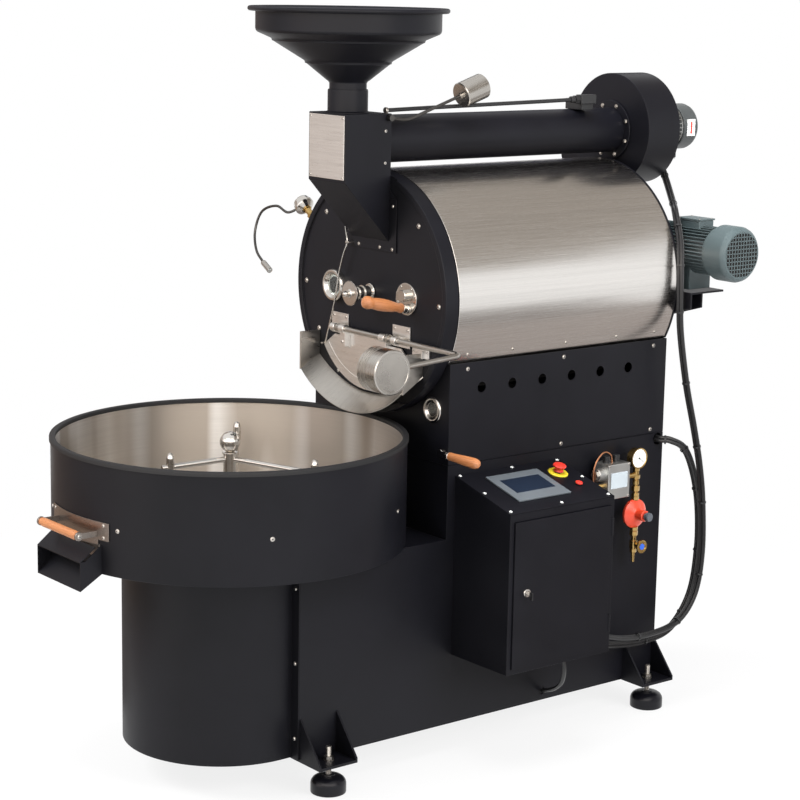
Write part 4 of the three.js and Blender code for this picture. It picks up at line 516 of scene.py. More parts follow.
def raise_surface(tree, shader, height, strength, distance):
    """Bump from a height, its distance in millimetres."""
    bump = node(tree, "Bump", "Normal", Height=height, Strength=strength, Distance=distance * MM)
    tree.links.new(bump, shader.inputs["Normal"])


def lacquer(shader, weight, roughness):
    shader.inputs["Coat Weight"].default_value = weight
    shader.inputs["Coat Roughness"].default_value = roughness


def grained(name, colour, roughness, grain, strength, tones, depth, metallic=0.0, specular=0.5, gloss=None):
    """A finish with a fine grain, slow changes of tone between two shares, and of gloss in a range."""
    material, tree, shader, place = surface(name, colour, roughness, metallic, specular)
    made = use_group(tree, paint_grain, place, Grain_Scale=grain)
    tint = blend_colours(tree, made["Cloud"], shade(colour, tones[0]), shade(colour, tones[1]))
    tree.links.new(tint, shader.inputs["Base Color"])
    if gloss:
        tree.links.new(spread(tree, made["Cloud"], *gloss), shader.inputs["Roughness"])
    raise_surface(tree, shader, made["Grain"], strength, depth)
    return material, shader


def painted(name, colour, roughness, grain=700.0, strength=0.12, coat=0.0, specular=0.5):
    """Sprayed paint: orange peel, and a gloss that changes a little over the panel."""
    material, shader = grained(name, colour, roughness, grain, strength, (0.88, 1.14), 0.15, specular=specular,
                               gloss=(roughness - 0.04, roughness + 0.05))
    lacquer(shader, coat, 0.25)
    return material


def bare_metal(name, colour, roughness, grain=300.0, strength=0.08):
    """Turned or cast bare metal with a faint bloom."""
    return grained(name, colour, roughness, grain, strength, (0.85, 1.06), 0.1, metallic=1.0,
                   gloss=(roughness * 0.8, roughness * 1.3))[0]


def moulded(name, colour, roughness, grain=900.0, strength=0.1):
    """Moulded plastic or rubber with a fine spark texture."""
    return grained(name, colour, roughness, grain, strength, (0.9, 1.1), 0.08)[0]


def brushed(name, colour, roughness, scale, depth=0.1, anisotropic=0.5, painted_reflection_bands=None, around=None):
    """Belt-ground stainless steel, its lines along the axis with the small scale or round an upright axis. Stripes,
    when their scale is given, are painted reflection: broad darker stripes standing in for the room mirrored in the
    steel.
    """
    material, tree, shader, place = surface(name, colour, roughness, 1.0)
    made = use_group(tree, brush_lines, squeezed(tree, place, scale))
    light = shade(colour, 1.06)
    tint = blend_colours(tree, made["Shade"], blend_colours(tree, made["Lines"], shade(colour, 0.88), light), light)
    # Painted reflection: broad darker stripes in the colour, standing in for the room that the steel mirrors.
    if painted_reflection_bands:
        painted_band_mask = sharpen(tree, noise(tree, squeezed(tree, place, painted_reflection_bands), 1.0, 1.0), 0.44, 0.56)
        tint = blend_colours(tree, painted_band_mask, (0.62 * colour[0], 0.57 * colour[1], 0.52 * colour[2]), tint)
    if around:
        arm = maths(tree, "VectorMath", "SUBTRACT", "Vector", place, TO_ROW @ Vector(around))
        tree.links.new(maths(tree, "VectorMath", "CROSS_PRODUCT", "Vector", UP, arm), shader.inputs["Tangent"])
        shader.inputs["Anisotropic Rotation"].default_value = 0.25
    tree.links.new(tint, shader.inputs["Base Color"])
    tree.links.new(spread(tree, made["Lines"], roughness - 0.05, roughness + 0.08), shader.inputs["Roughness"])
    shader.inputs["Anisotropic"].default_value = anisotropic
    raise_surface(tree, shader, made["Lines"], depth, 0.05)
    return material


def turned_wood(name, dark, light, scale):
    """Oiled wood whose figure runs along the axis with the small scale."""
    material, tree, shader, place = surface(name, light, 0.42)
    made = use_group(tree, wood_figure, squeezed(tree, place, scale))
    tint = blend_colours(tree, made["Pores"], blend_colours(tree, made["Rings"], light, dark), light)
    tree.links.new(tint, shader.inputs["Base Color"])
    lacquer(shader, 0.35, 0.2)
    raise_surface(tree, shader, made["Pores"], 0.08, 0.2)
    return material


def perforated(name, steel):
    """The tray's floor: brushed sheet with rows of round holes, each hole painted near black as the shade under the
    sheet.
    """
    material, tree, shader, place = surface(name, steel, 0.32, 1.0)
    holes = use_group(tree, hole_grid, squeezed(tree, place, (160, 160, 160)))["Holes"]
    lines = use_group(tree, brush_lines, squeezed(tree, place, (6, 1200, 6)))["Lines"]
    sheet = blend_colours(tree, lines, shade(steel, 0.85), steel)
    # Painted shade: the holes are coloured near black for the dark space under the sheet.
    tree.links.new(blend_colours(tree, holes, sheet, (0.01, 0.01, 0.01)), shader.inputs["Base Color"])
    tree.links.new(spread(tree, holes, 0.3, 0.9), shader.inputs["Roughness"])
    raise_surface(tree, shader, holes, -0.6, 0.8)
    return material


def clear_glass(name):
    """Sight glass, faintly fogged."""
    material, tree, shader, place = surface(name, (0.9, 0.95, 0.93), 0.03)
    shader.inputs["Transmission Weight"].default_value = 1.0
    shader.inputs["IOR"].default_value = 1.5
    fog = use_group(tree, paint_grain, place, Grain_Scale=120.0)["Cloud"]
    tree.links.new(spread(tree, fog, 0.02, 0.08), shader.inputs["Roughness"])
    return material


def display_glass(name):
    """The dark display of the touch screen, with a faint picture of plain panes."""
    material, tree, shader, place = surface(name, (0.012, 0.02, 0.04), 0.12)
    panes = use_group(tree, paint_grain, place, Grain_Scale=60.0)["Cloud"]
    tint = blend_colours(tree, panes, (0.008, 0.014, 0.03), (0.016, 0.027, 0.05))
    tree.links.new(tint, shader.inputs["Base Color"])
    lacquer(shader, 1.0, 0.05)
    return material


# How each finish is made: a name in quotes stands for that value of the panel
RECIPES = {
    "black_paint": (painted, "body_paint", "paint_roughness", 700.0, 0.12, 0.0, 0.22),
    "black_gloss": (painted, "body_paint", 0.28, 700.0, 0.12, 0.06, 0.25),
    "jacket_steel": (brushed, "steel", 0.22, (900, 5, 900), 0.1, 0.0),
    # The tray's lining carries painted reflection: broad upright darker stripes over its steel.
    "tray_steel": (brushed, "steel", 0.46, (3, 3, 1500), 0.02, 0.92, (7, 7, 0.3), (0, TRAY_Y, 0)),
    "plate_steel": (brushed, "steel", 0.3, (12, 900, 900)),
    "gate_steel": (brushed, (0.3, 0.265, 0.24), 0.3, (12, 900, 900)),
    "grey_casting": (painted, (0.05, 0.055, 0.056), 0.4, 350.0, 0.25),
    "chute_steel": (brushed, "worn_steel", 0.3, (900, 14, 60)),
    "weight_steel": (brushed, "worn_steel", 0.26, (900, 12, 12)),
    "polished_steel": (bare_metal, "bright_steel", 0.16),
    "zinc": (bare_metal, "bright_steel", 0.3, 500.0),
    "dark_steel": (bare_metal, (0.12, 0.115, 0.11), 0.35, 500.0),
    "worn_metal": (bare_metal, "worn_steel", 0.28, 400.0),
    "brass": (bare_metal, "brass", 0.28),
    "copper": (bare_metal, (0.66, 0.3, 0.16), 0.3),
    "aluminium": (bare_metal, (0.6, 0.61, 0.6), 0.38, 450.0, 0.25),
    "dark_iron": (bare_metal, (0.07, 0.066, 0.062), 0.55, 200.0, 0.3),
    "motor_paint": (painted, "motor_paint", 0.42, 350.0, 0.25),
    "rubber": (moulded, (0.006, 0.006, 0.007), 0.6),
    "cable": (moulded, (0.014, 0.014, 0.015), 0.38, 300.0),
    "tie": (moulded, (0.02, 0.02, 0.021), 0.3),
    "black_plastic": (moulded, (0.015, 0.015, 0.016), 0.4),
    "bezel_plastic": (moulded, (0.12, 0.135, 0.15), 0.4),
    "knob_plastic": (moulded, (0.09, 0.1, 0.115), 0.4),
    "red_plastic": (moulded, "stop_red", 0.28, 700.0, 0.03),
    "yellow_plastic": (moulded, (0.74, 0.58, 0.03), 0.32, 700.0, 0.03),
    "red_paint": (painted, (0.68, 0.055, 0.02), 0.3, 500.0, 0.06, 0.5),
    "blue_plastic": (moulded, (0.03, 0.12, 0.6), 0.35),
    "dial_white": (moulded, (0.85, 0.86, 0.84), 0.4, 900.0, 0.02),
    "label_white": (moulded, (0.42, 0.47, 0.5), 0.4, 900.0, 0.02),
    # Near-black paint that stands in for the shade of hollows: screw sockets and the inside behind the motor's
    # grille.
    "dark_hollow": (painted, (0.003, 0.003, 0.003), 0.8),
    "wood_along_x": (turned_wood, "wood_dark", "wood_light", (12, 90, 90)),
    "wood_along_y": (turned_wood, "wood_dark", "wood_light", (90, 12, 90)),
    "perforated_floor": (perforated, "steel"),
    "sight_glass_clear": (clear_glass,),
    "display_glass": (display_glass,),
}
MADE = {}


def made_finish(name):
    """A finish, made once, when a piece first asks for it."""
    if name not in MADE:
        recipe, *values = RECIPES[name]
        panel = bpy.context.scene.roaster_colours
        MADE[name] = recipe(name, *(getattr(panel, v) if isinstance(v, str) else v for v in values))
    return MADE[name]


def sizes():
    """The sizes of the panel in drawing millimetres."""
    group = bpy.context.scene.roaster_sizes
    return {name: getattr(group, name) / MM for name in group.__annotations__}


# Small parts that come again and again

def screw(piece, place, axis, radius=6.0, finish="zinc", socket=True):
    """A domed screw head on a thin washer, with its hexagon socket painted: a thin near-black hexagon on the head
    stands in for the shade in the recess.
    """
    axis = Vector(axis).normalized()
    head = lathe([(0, -0.5), (radius * 1.25, -0.5), (radius * 1.25, 0.6), (radius, 0.6), (radius, radius * 0.35),
                  (radius * 0.75, radius * 0.62), (0, radius * 0.66)], place, axis, SMALL)
    piece.add(head, finish)
    # Painted shade: the socket is a thin near-black hexagon laid on the head, not a recess.
    if socket:
        top = Vector(place) + axis * radius * 0.6
        piece.add(slug(radius * 0.42, 0, 0.35, top, axis, 6), "dark_hollow")


def bolt_circle(piece, centre, axis, reach, count, offset=0.0):
    """Small hexagon bolts with washers on a circle round an axis along y."""
    x, y, z = centre
    radius, height = 5.0, 3.6
    for i in range(count):
        a = math.tau * (i + offset) / count
        place = Vector((x + reach * math.cos(a), y, z + reach * math.sin(a)))
        piece.add(slug(radius * 1.3, 0, 1.2, place, axis), "zinc")
        head = [(0, 0), (radius, 0), (radius, height * 0.85), (radius * 0.85, height), (0, height)]
        piece.add(lathe(head, place + Vector(axis), axis, 6), "zinc")


def fins(piece, start, end, radius, depth, count, finish):
    """Cooling fins along a motor's body, from start to end."""
    axis = (Vector(end) - Vector(start)).normalized()
    length = (Vector(end) - Vector(start)).length
    for i in range(count):
        fin = block((-1.3, radius - 3, 0), (1.3, radius + depth, length), 0.5, 1)
        fin.transform(Matrix.Rotation(math.tau * i / count, 4, "Z"))
        turn = Vector(UP).rotation_difference(axis)
        fin.transform(Matrix.LocRotScale(Vector(start), turn, None))
        piece.add(fin, finish)


# Base

def build_base():
    """Base frame, lower housing and the half-round cover under the tray."""
    edge, head = sizes()["broken_edge"], sizes()["panel_screw"]
    dress("base_frame", "black_paint", edge)
    dress("base_housing", "black_paint", edge)
    dress("stirrer_gearmotor", "motor_paint", 0)
    dress("burner", "dark_iron", 0)

    cover = Piece("fan_cover", "black_paint")
    outer = arc(0, -548, 286, 0, -180, 72)
    inner = arc(0, -548, 283, -180, 0, 72)
    outline = [(320, -512.3), (320, -515.3), (286, -515.3), *outer, (-286, -515.3), (-320, -515.3), (-320, -512.3),
               (-283, -512.3), *inner, (283, -512.3)]
    cover.add(prism(outline, "z", 90, 655.7, 0.8))
    cover.done("machine", ["column_cover"])

    screws = Piece("body_screws", "zinc")
    for height in (579, 366, 150):
        for side in (-1, 1):
            screw(screws, (side * 303, -515.3, height), FORWARD, head)
    for side in (-1, 1):
        for depth in (65, 433, 802):
            for height in (1132, 872):
                screw(screws, (side * BODY_HALF, depth, height), (side, 0, 0), head)
        for depth in (60, 229, 436, 640, 800):
            place = (side * jacket_half(1175), depth, 1175)
            screw(screws, place, (place[0], 0, 1175 - DRUM_Z), 4.0)
    screws.done("machine")


def jacket_half(height):
    """Half the jacket's width at a height."""
    return math.sqrt(JACKET_RADIUS ** 2 - (height - DRUM_Z) ** 2)


def build_feet():
    """Four levelling feet: bell pad, threaded stud and jam nuts."""
    names = {"right": 1, "left": -1}
    for side_name, side in names.items():
        for end_name, y in (("front", -444), ("rear", 787)):
            foot = Piece(f"{end_name}_{side_name}_levelling_foot", "zinc")
            centre = (side * 367, y, 0)
            pad = [(0, 0), (46, 0), (49.5, 2), (50, 6), (50, 27), (48.5, 34), (44, 41), (37, 46), (28, 49), (18, 50),
                   (17, 52), (0, 52)]
            foot.add(lathe(pad, centre, UP), "black_gloss")
            thread = [(0, 38)]
            for i in range(48):
                thread += [(7.2, 38 + 2 * i), (8, 39 + 2 * i)]
            thread += [(6.5, 134), (0, 134)]
            foot.add(lathe(thread, centre, UP, SMALL))
            for low in (73.4, 94.6):
                nut = [(0, low), (11.5, low), (14, low + 1.2), (14, low + 9.8), (11.5, low + 11), (0, low + 11)]
                foot.add(lathe(nut, centre, UP, 6))
            foot.add(slug(15, 93, 94.6, centre, UP))
            foot.done("machine", [f"{end_name}_{side_name}_foot"])


# Housing and jacket

def build_housing():
    """Upper housing with its vents, and the steel jacket."""
    housing = Piece("vented_housing", "black_paint")
    low, high = 858.15, 1150
    shell = block((-BODY_HALF, 0, low), (BODY_HALF, BODY_DEPTH, high), 1.6)
    hollow = block((-317, SHEET, low - 20), (317, BODY_DEPTH - SHEET, high + 20))
    vents = [rod((-340, *vent), (340, *vent), 15.5) for vent in VENTS]
    port = rod((FIRE_X, -20, FIRE_Z), (FIRE_X, 20, FIRE_Z), 26, steps=MID)
    window = rod((0, -20, DRUM_Z), (0, 20, DRUM_Z), 307, steps=FINE)
    shaft = rod((AIR_X, -20, AIR_Z), (AIR_X, 20, AIR_Z), 6.3)
    housing.add(carve(carve(shell, hollow), together(*vents), port, window, shaft))
    disc = washer(22.6, 349, 0, SHEET, (0, BODY_DEPTH, DRUM_Z), FORWARD, FINE)
    housing.add(disc)
    for vent in VENTS:
        for side in (-1, 1):
            place = (side * BODY_HALF, *vent)
            housing.add(lathe([(15.5, -1), (17.2, -1), (17.2, 0.4), (16.6, 0.8), (15.5, 0.8)], place, (side, 0, 0),
                              SMALL, True))
    housing.done("machine", ["upper_housing"])

    seam = Piece("side_seams", "black_paint")
    for side in (-1, 1):
        x0, x1 = sorted((side * BODY_HALF, side * 321.2))
        seam.add(block((x0, 2, 860), (x1, BODY_DEPTH - 2, 862), 0.4, 1))
    seam.done("machine")

    jacket = Piece("steel_jacket", "jacket_steel")
    angle = math.degrees(math.asin((1150.3 - DRUM_Z) / JACKET_RADIUS))

    def shell(outer, inner, first):
        last = 180 - first
        return [*arc(0, DRUM_Z, outer, first, last, 160), *arc(0, DRUM_Z, inner, last, first, 160)]
    jacket.add(prism(shell(JACKET_RADIUS, JACKET_RADIUS - SHEET, angle), "y", 0, BODY_DEPTH, 0.6, 1))
    lip = shell(JACKET_RADIUS + 2, JACKET_RADIUS, angle + 0.3)
    jacket.add(prism(lip, "y", BODY_DEPTH - 5, BODY_DEPTH + 1, 0.4, 1), "black_paint")
    jacket.done("machine", ["drum_jacket"])


# Front plate and its fittings

def door_outline(margin):
    """The discharge door's outline, grown outwards by a margin."""
    centre = DRUM_Z - 30.6
    radius = 259 + margin
    half = 210 + margin
    shoulder = centre - math.sqrt(radius ** 2 - half ** 2)
    angle = math.degrees(math.atan2(shoulder - centre, half))
    top = DRUM_Z - 126 + margin
    return [(-130 - margin, top), *arc(0, centre, radius, -180 - angle, angle, 64), (130 + margin, top)]


def build_face():
    """Front plate: disc inside a proud rim, which is cut away at the neck box and the chute."""
    face = Piece("front_disc", "black_paint")
    profile = [(0, 32), (324, 32), (324, 0.3), (350.5, 0.3), (353, 2.5), (353, 43), (351.5, 46), (348.5, 47),
               (337, 47), (334.5, 46.2), (333, 44.5), (333, 42.5), (330.5, 41), (0, 41)]
    body = lathe(profile, DRUM_AXIS, FORWARD, 160)
    cutters = [
        prism(door_outline(-24), "y", -60, 0),
        block((-63, -60, 1475), (63, 0, 1562)),
        rod((0, -60, DRUM_Z), DRUM_AXIS, 15),
        rod((SIGHT_X, -60, DRUM_Z), (SIGHT_X, 0, DRUM_Z), 25),
        rod((183, -68, 1299.5), (183, 40, 1276.5), 15),
        block((-120.3, -67, DRUM_Z), (120.3, FACE_Y - 0.05, 1700)),
        block((-258.3, -67, 1019.3), (258.3, FACE_Y - 0.05, DRUM_Z)),
    ]
    face.add(carve(body, *cutters))
    for x, z in ((314, 1317), (-314, 1317), (217, 1533), (-217, 1533), (-248, 1181), (248, 1181)):
        screw(face, (x, FACE_Y, z), FORWARD, 6.0)
    face.done("machine", ["face_plate"])


TRIER_TILT = math.radians(12)
TRIER_WAY = Vector((0, -math.cos(TRIER_TILT), math.sin(TRIER_TILT)))
TRIER_SEAT = Vector((183, -47.3, 1294))


def grip_profile(radius, length, swell):
    """A turned handle: necked at the ferrule, full in the middle, round at the end."""
    shares = [(0.0, 0.0), (0.62, 0.0), (0.74, 0.01), (0.78, 0.03), (0.76, 0.07), (0.7, 0.12), (0.72, 0.17),
              (0.82, 0.26), (0.92, 0.38), (swell, 0.5), (0.96, 0.62), (0.9, 0.72), (0.86, 0.78), (0.84, 0.795),
              (0.88, 0.81), (0.97, 0.85), (1.0, 0.9), (0.95, 0.94), (0.82, 0.97), (0.55, 0.99), (0.0, 1.0)]
    return [(r * radius, h * length) for r, h in shares]


def build_fittings():
    """Bearing tube, sight glass, sampler with its scoop and handle, and the fire port's ring."""
    bearing = Piece("bearing_tube", "polished_steel")
    bearing.add(lathe([(12.6, 41.3), (23, 41.3), (24, 42.3), (24, 45), (22.8, 46.3), (18.4, 46.3), (18, 47), (18, 69),
                       (21, 69), (21.5, 70), (21.5, 72), (21, 73), (18, 73), (18, 88), (21, 88), (21.5, 89),
                       (21.5, 91), (21, 92), (18, 92), (18, 111), (17.3, 111.7), (12.6, 111.7)], DRUM_AXIS, FORWARD,
                      ring=True))
    bearing.done("machine", ["bearing_housing"])

    sight = Piece("sight_window_ring", "polished_steel")
    sight.add(lathe([(25, 41.3), (48, 41.3), (48, 50), (47.4, 55), (45, 58.3), (41.5, 59.3), (38.5, 59), (36, 57.5),
                     (31.5, 50.5), (30, 49.3), (30, 46.3), (25, 46.3)], (SIGHT_X, 0, DRUM_Z), FORWARD, ring=True))
    sight.done("machine", ["sight_ring"])
    glass = Piece("sight_window_glass", "sight_glass_clear")
    glass.add(slug(29.7, 46.6, 49.3, (SIGHT_X, 0, DRUM_Z), FORWARD, MID))
    glass.done("machine", ["sight_glass"])

    port = Piece("sampler_flange", "polished_steel")
    flange = lathe([(0, 41.3), (47, 41.3), (47, 44.5), (46, 46.3), (43, 47.3), (0, 47.3)], (172, 0, DRUM_Z), FORWARD)
    boss = lathe([(0, 41.3), (17, 41.3), (17, 61.5), (15.5, 63.3), (0, 63.3)], (172, 0, 1331.6), FORWARD)
    hole = rod(TRIER_SEAT + TRIER_WAY * 20, TRIER_SEAT - TRIER_WAY * 30, 12.4)
    port.add(carve(join(flange, boss), hole))
    for x, z in ((137, 1310), (150, 1355), (196, 1352), (209, 1334)):
        screw(port, (x, -47.3, z), FORWARD, 3.6, "zinc")
    port.done("machine", ["sampler_port"])

    scoop = Piece("sampler_scoop", "polished_steel")
    start = TRIER_SEAT - TRIER_WAY * 250
    tube_shape = slug(12, 0, 262, start, TRIER_WAY)
    bore = slug(10, 20, 209, start, TRIER_WAY)
    mouth = moved(slug(10, 20, 150, start, TRIER_WAY), z=9.6)
    scoop.add(carve(tube_shape, bore, mouth))
    scoop.add(lathe([(0, 3.4), (12.5, 3.4), (13.5, 4.4), (13.5, 8), (12.6, 9), (12.6, 18), (13.5, 19), (13.5, 21),
                     (12.5, 22), (0, 22)], TRIER_SEAT, TRIER_WAY, SMALL))
    scoop.done("sampler", ["trier"])
    grip = Piece("sampler_grip", "wood_along_y")
    grip.add(lathe(grip_profile(18.5, 140, 0.98), TRIER_SEAT + TRIER_WAY * 22.3, TRIER_WAY))
    grip.done("sampler", ["trier_handle"])

    fire = Piece("fire_port_ring", "polished_steel")
    fire.add(lathe([(20, -2), (25.8, -2), (25.8, 0.2), (39, 0.2), (39, 3), (37.5, 5.5), (34, 7), (30, 7), (26.5, 5.5),
                    (23.5, 2.5), (20, 1.5)], (FIRE_X, 0, FIRE_Z), FORWARD, ring=True))
    fire.add(slug(20, -2, 0, (FIRE_X, 0, FIRE_Z), FORWARD), "sight_glass_clear")
    fire.done("machine")

    nose = Piece("drum_nose_cap", "polished_steel")
    nose.add(lathe([(0, 112.2), (34, 112.2), (36.3, 113.2), (36.3, 116.2), (34, 117.3), (14, 117.6), (12, 118.4),
                    (9.2, 121), (9, 130), (7.5, 137), (4, 141.2), (0, 141.6)], DRUM_AXIS, FORWARD))
    nose.done("drum")


# Discharge door, its rod and the chute

def build_door():
    """Discharge door with hinge plates, rod, counterweight and latch."""
    for name, x in HINGES.items():
        bracket = Piece(f"{name}_hinge_plate", "plate_steel")
        plate = block((x - 40, -45.3, 1180), (x + 40, SEAT_Y, 1242), 1.2)
        boss = rod((x - 10, ROD_Y, ROD_Z), (x + 10, ROD_Y, ROD_Z), 13, edge=1)
        web = block((x - 10, ROD_Y, 1193.2), (x + 10, -43.3, 1208.8), 0.8)
        bore = rod((x - 80, ROD_Y, ROD_Z), (x + 80, ROD_Y, ROD_Z), 8.6)
        joined = join(join(plate, boss), web)
        bracket.add(carve(joined, bore))
        for dx, z in ((-30, 1232), (30, 1232), (-30, 1190), (30, 1190)):
            screw(bracket, (x + dx, -45.3, z), FORWARD, 3.8)
        bracket.done("machine", [f"hinge_bracket_{name}"])

    door = Piece("door_leaf", "plate_steel")
    leaf = prism(door_outline(0), "y", -51, -45, 1.2)
    slots = [block((x - 43, -61, 1177), (x + 43, -41, 1217)) for x in HINGES.values()]
    door.add(carve(leaf, together(*slots)))
    for x in (-97, 97):
        boss = rod((x - 13, ROD_Y, ROD_Z), (x + 13, ROD_Y, ROD_Z), 13, edge=1)
        strap = block((x - 13, ROD_Y - 2.6, 1149), (x + 13, -48, ROD_Z), 1.0)
        bore = rod((x - 30, ROD_Y, ROD_Z), (x + 30, ROD_Y, ROD_Z), 8.3)
        door.add(carve(join(boss, strap), bore))
        screw(door, (x, ROD_Y - 2.6, 1163), FORWARD, 5.0)
    door.add(prism([(-82, 1143), (-115, 1143), (-115, 1186), (-79, 1186)], "y", -54, -51, 0.8))
    for z in (1151, 1166, 1179):
        screw(door, (-104, -54, z), FORWARD, 3.4)
    door.add(block((180, -56, 1144), (194, -51, 1162), 1.0), "zinc")
    rib = arc(0, 1291, 236, -143, -37, 48)
    rib += arc(0, 1291, 232, -37, -143, 48)
    door.add(prism(rib, "y", -52.2, -50.5, 0.3, 1))
    door.done("door", ["discharge_door"])

    lever = Piece("door_rod", "worn_metal")
    weight_y, weight_z = ROD_Y - 269, ROD_Z - 15
    lever.add(bent([(-130, ROD_Y, ROD_Z), (WEIGHT_X, ROD_Y, ROD_Z), (WEIGHT_X, weight_y + 40, weight_z)],
                   sizes()["hinge_rod"], 26, 24))
    half = 40.5
    profile = [(0, -half), (58.5, -half), (61, -half + 2.5)]
    for i in range(4):
        at = -half + 9 + 8.5 * i
        profile += [(61, at), (58.6, at + 0.8), (58.6, at + 2.8), (61, at + 3.6)]
    profile += [(61, half - 3), (58.5, half), (53, half), (52, half - 1.2), (0, half - 1.2)]
    lever.add(lathe(profile, (WEIGHT_X, weight_y, weight_z), OUT, FINE), "weight_steel")
    for x in (-122, -114, 118):
        lever.add(washer(8, 13, 0, 7, (x, ROD_Y, ROD_Z), OUT))
    lever.add(slug(14, 0, 12, (WEIGHT_X, weight_y + 66, weight_z), FORWARD), "polished_steel")
    lever.done("door", ["door_lever"])

    latch = Piece("door_latch_plate", "plate_steel")
    latch.add(block((206, -47, 1162), (282, SEAT_Y, 1188), 1.0))
    latch.add(block((262, -60, 1164), (268, -46, 1186), 0.8))
    for x in (214, 275):
        screw(latch, (x, -47, 1181), FORWARD, 3.6)
    latch.done("machine")


def chute_arc(half, end, low, steps):
    sag = low - end
    radius = (half ** 2 + sag ** 2) / (2 * sag)
    centre = DRUM_Z - low + radius
    angle = math.degrees(math.asin(half / radius))
    return arc(0, centre, radius, -90 - angle, -90 + angle, steps)


def build_chute():
    """Curved apron under the door, between two cheeks."""
    chute = Piece("bean_chute", "chute_steel")
    count = 48
    rear = chute_arc(252, 214, 299, count)
    front = chute_arc(240, 259, 348, count)
    apron = bmesh.new()
    rims = []
    for line, y in ((rear, FACE_Y - FIT), (front, FACE_Y - 71)):
        points = [apron.verts.new((x, y, z)) for x, z in line]
        rims.append([apron.edges.new(pair) for pair in zip(points, points[1:])])
    bmesh.ops.bridge_loops(apron, edges=rims[0] + rims[1])
    bmesh.ops.solidify(apron, geom=apron.faces[:], thickness=SHEET)
    tidy(apron)
    chute.add(apron)
    for side in (-1, 1):
        at = side * 246
        outline = [(SEAT_Y, 1176), (-112, 1176), (-112, 1062), (SEAT_Y, 1106)]
        x0, x1 = (at - 3, at + 3)
        chute.add(prism(outline, "x", x0, x1, 1.0))
    for side in (-1, 1):
        screw(chute, (side * 150, -41.6, 1066), FORWARD, 4.0)
    chute.done("machine", ["discharge_chute"])


# Hopper, neck box and gate

def build_hopper():
    """Feed hopper with rolled bead and stepped cone, on its neck box."""
    hopper = Piece("feed_hopper", "black_paint")
    bead = arc(277, 2125, 7, -110, 160, 14)
    outer = [(53, 1839.3), (53, 1921), (56, 1926), (62, 1930), (118, 1975), (122, 1976), (123, 1981), (126, 1984),
             (212, 2036), (215, 2037), (216, 2041), (219, 2044), (256, 2060), (260, 2064), (262, 2070), (262, 2116),
             (264, 2119)]
    inner = [(262, 2125), (259, 2122), (259, 2072), (256, 2067), (216, 2047), (122, 1988), (56, 1932), (50, 1922),
             (50, 1839.3)]
    hopper.add(lathe([*outer, *bead, *inner], (0, HOPPER_Y, 0), UP, 144, True))
    hopper.done("machine", ["hopper_funnel"])

    box = Piece("neck_case", "black_paint")
    back, front = SEAT_Y, -203.3
    shell = prism([(back, 1839), (front, 1839), (front, 1648), (back, 1472)], "x", -87, 87, 1.6)
    flange = block((-120, back - 4, 1446), (120, back, 1598), 1.0)
    corner = prism([(-87, 1626), (87, 1626), (120, 1598), (-120, 1598)], "y", back - 4, back, 0.8)
    hollow = prism([(back - 3, 1836), (front + 3, 1836), (front + 3, 1651), (back - 3, 1478)], "x", -84, 84)
    to_face = block((-63, back - 3.3, 1481), (63, back + 20, 1559))
    to_pipe = rod((0, back - 20, PIPE_Z), (0, back + 20, PIPE_Z), 65.5, steps=MID)
    throat = rod((0, HOPPER_Y, 1820), (0, HOPPER_Y, 1860), 50, steps=MID)
    shaft = rod((-170, -52, 1827), (170, -52, 1827), 5.3)
    body = join(join(shell, flange), corner)
    box.add(carve(body, hollow, to_face, to_pipe, throat, shaft))
    collar = lathe([(53.3, 1836), (66, 1836), (66, 1841), (60, 1842.5), (57.3, 1844), (57.3, 1900), (56, 1904),
                    (53.3, 1904)], (0, HOPPER_Y, 0), UP, EVEN, True)
    box.add(collar)
    for x, z in ((104, 1578), (104, 1455), (46, 1456), (-53, 1456), (-104, 1578)):
        screw(box, (x, back - 4, z), FORWARD, 4.2)
    for z in (1700, 1790):
        screw(box, (87, -62, z), OUT, 3.6)
    box.done("machine", ["neck_box"])

    plate = Piece("bare_name_plate", "plate_steel")
    plate.add(block((-82, front - 2.2, 1656), (82, front - 0.1, 1835), 0.8))
    for x in (-75, 75):
        for z in (1663, 1828):
            screw(plate, (x, front - 2.2, z), FORWARD, 3.0)
    plate.done("machine")

    gate = Piece("hopper_gate_lever", "dark_steel")
    gate.add(rod((-90, -52, 1827), (96, -52, 1827), 5, edge=0.6))
    gate.add(block((-78, -197, 1825.5), (78, -52, 1828.5), 0.6), "plate_steel")
    bend, tip = Vector((96, 7, 1819)), Vector((96, 204, 1885))
    gate.add(bent([(96, -52, 1827), bend, tip], 4.5, 24))
    gate.add(slug(9, -7, 7, (96, -52, 1827), OUT))
    way = (tip - bend).normalized()
    gate.add(lathe([(0, -9), (9, -9), (9, 0), (34.5, 0), (37, 2.5), (37, 81.5), (34.5, 84), (0, 84)], tip, way),
             "weight_steel")
    gate.done("gate", ["hopper_gate"])


# Exhaust pipe, fan and conduit

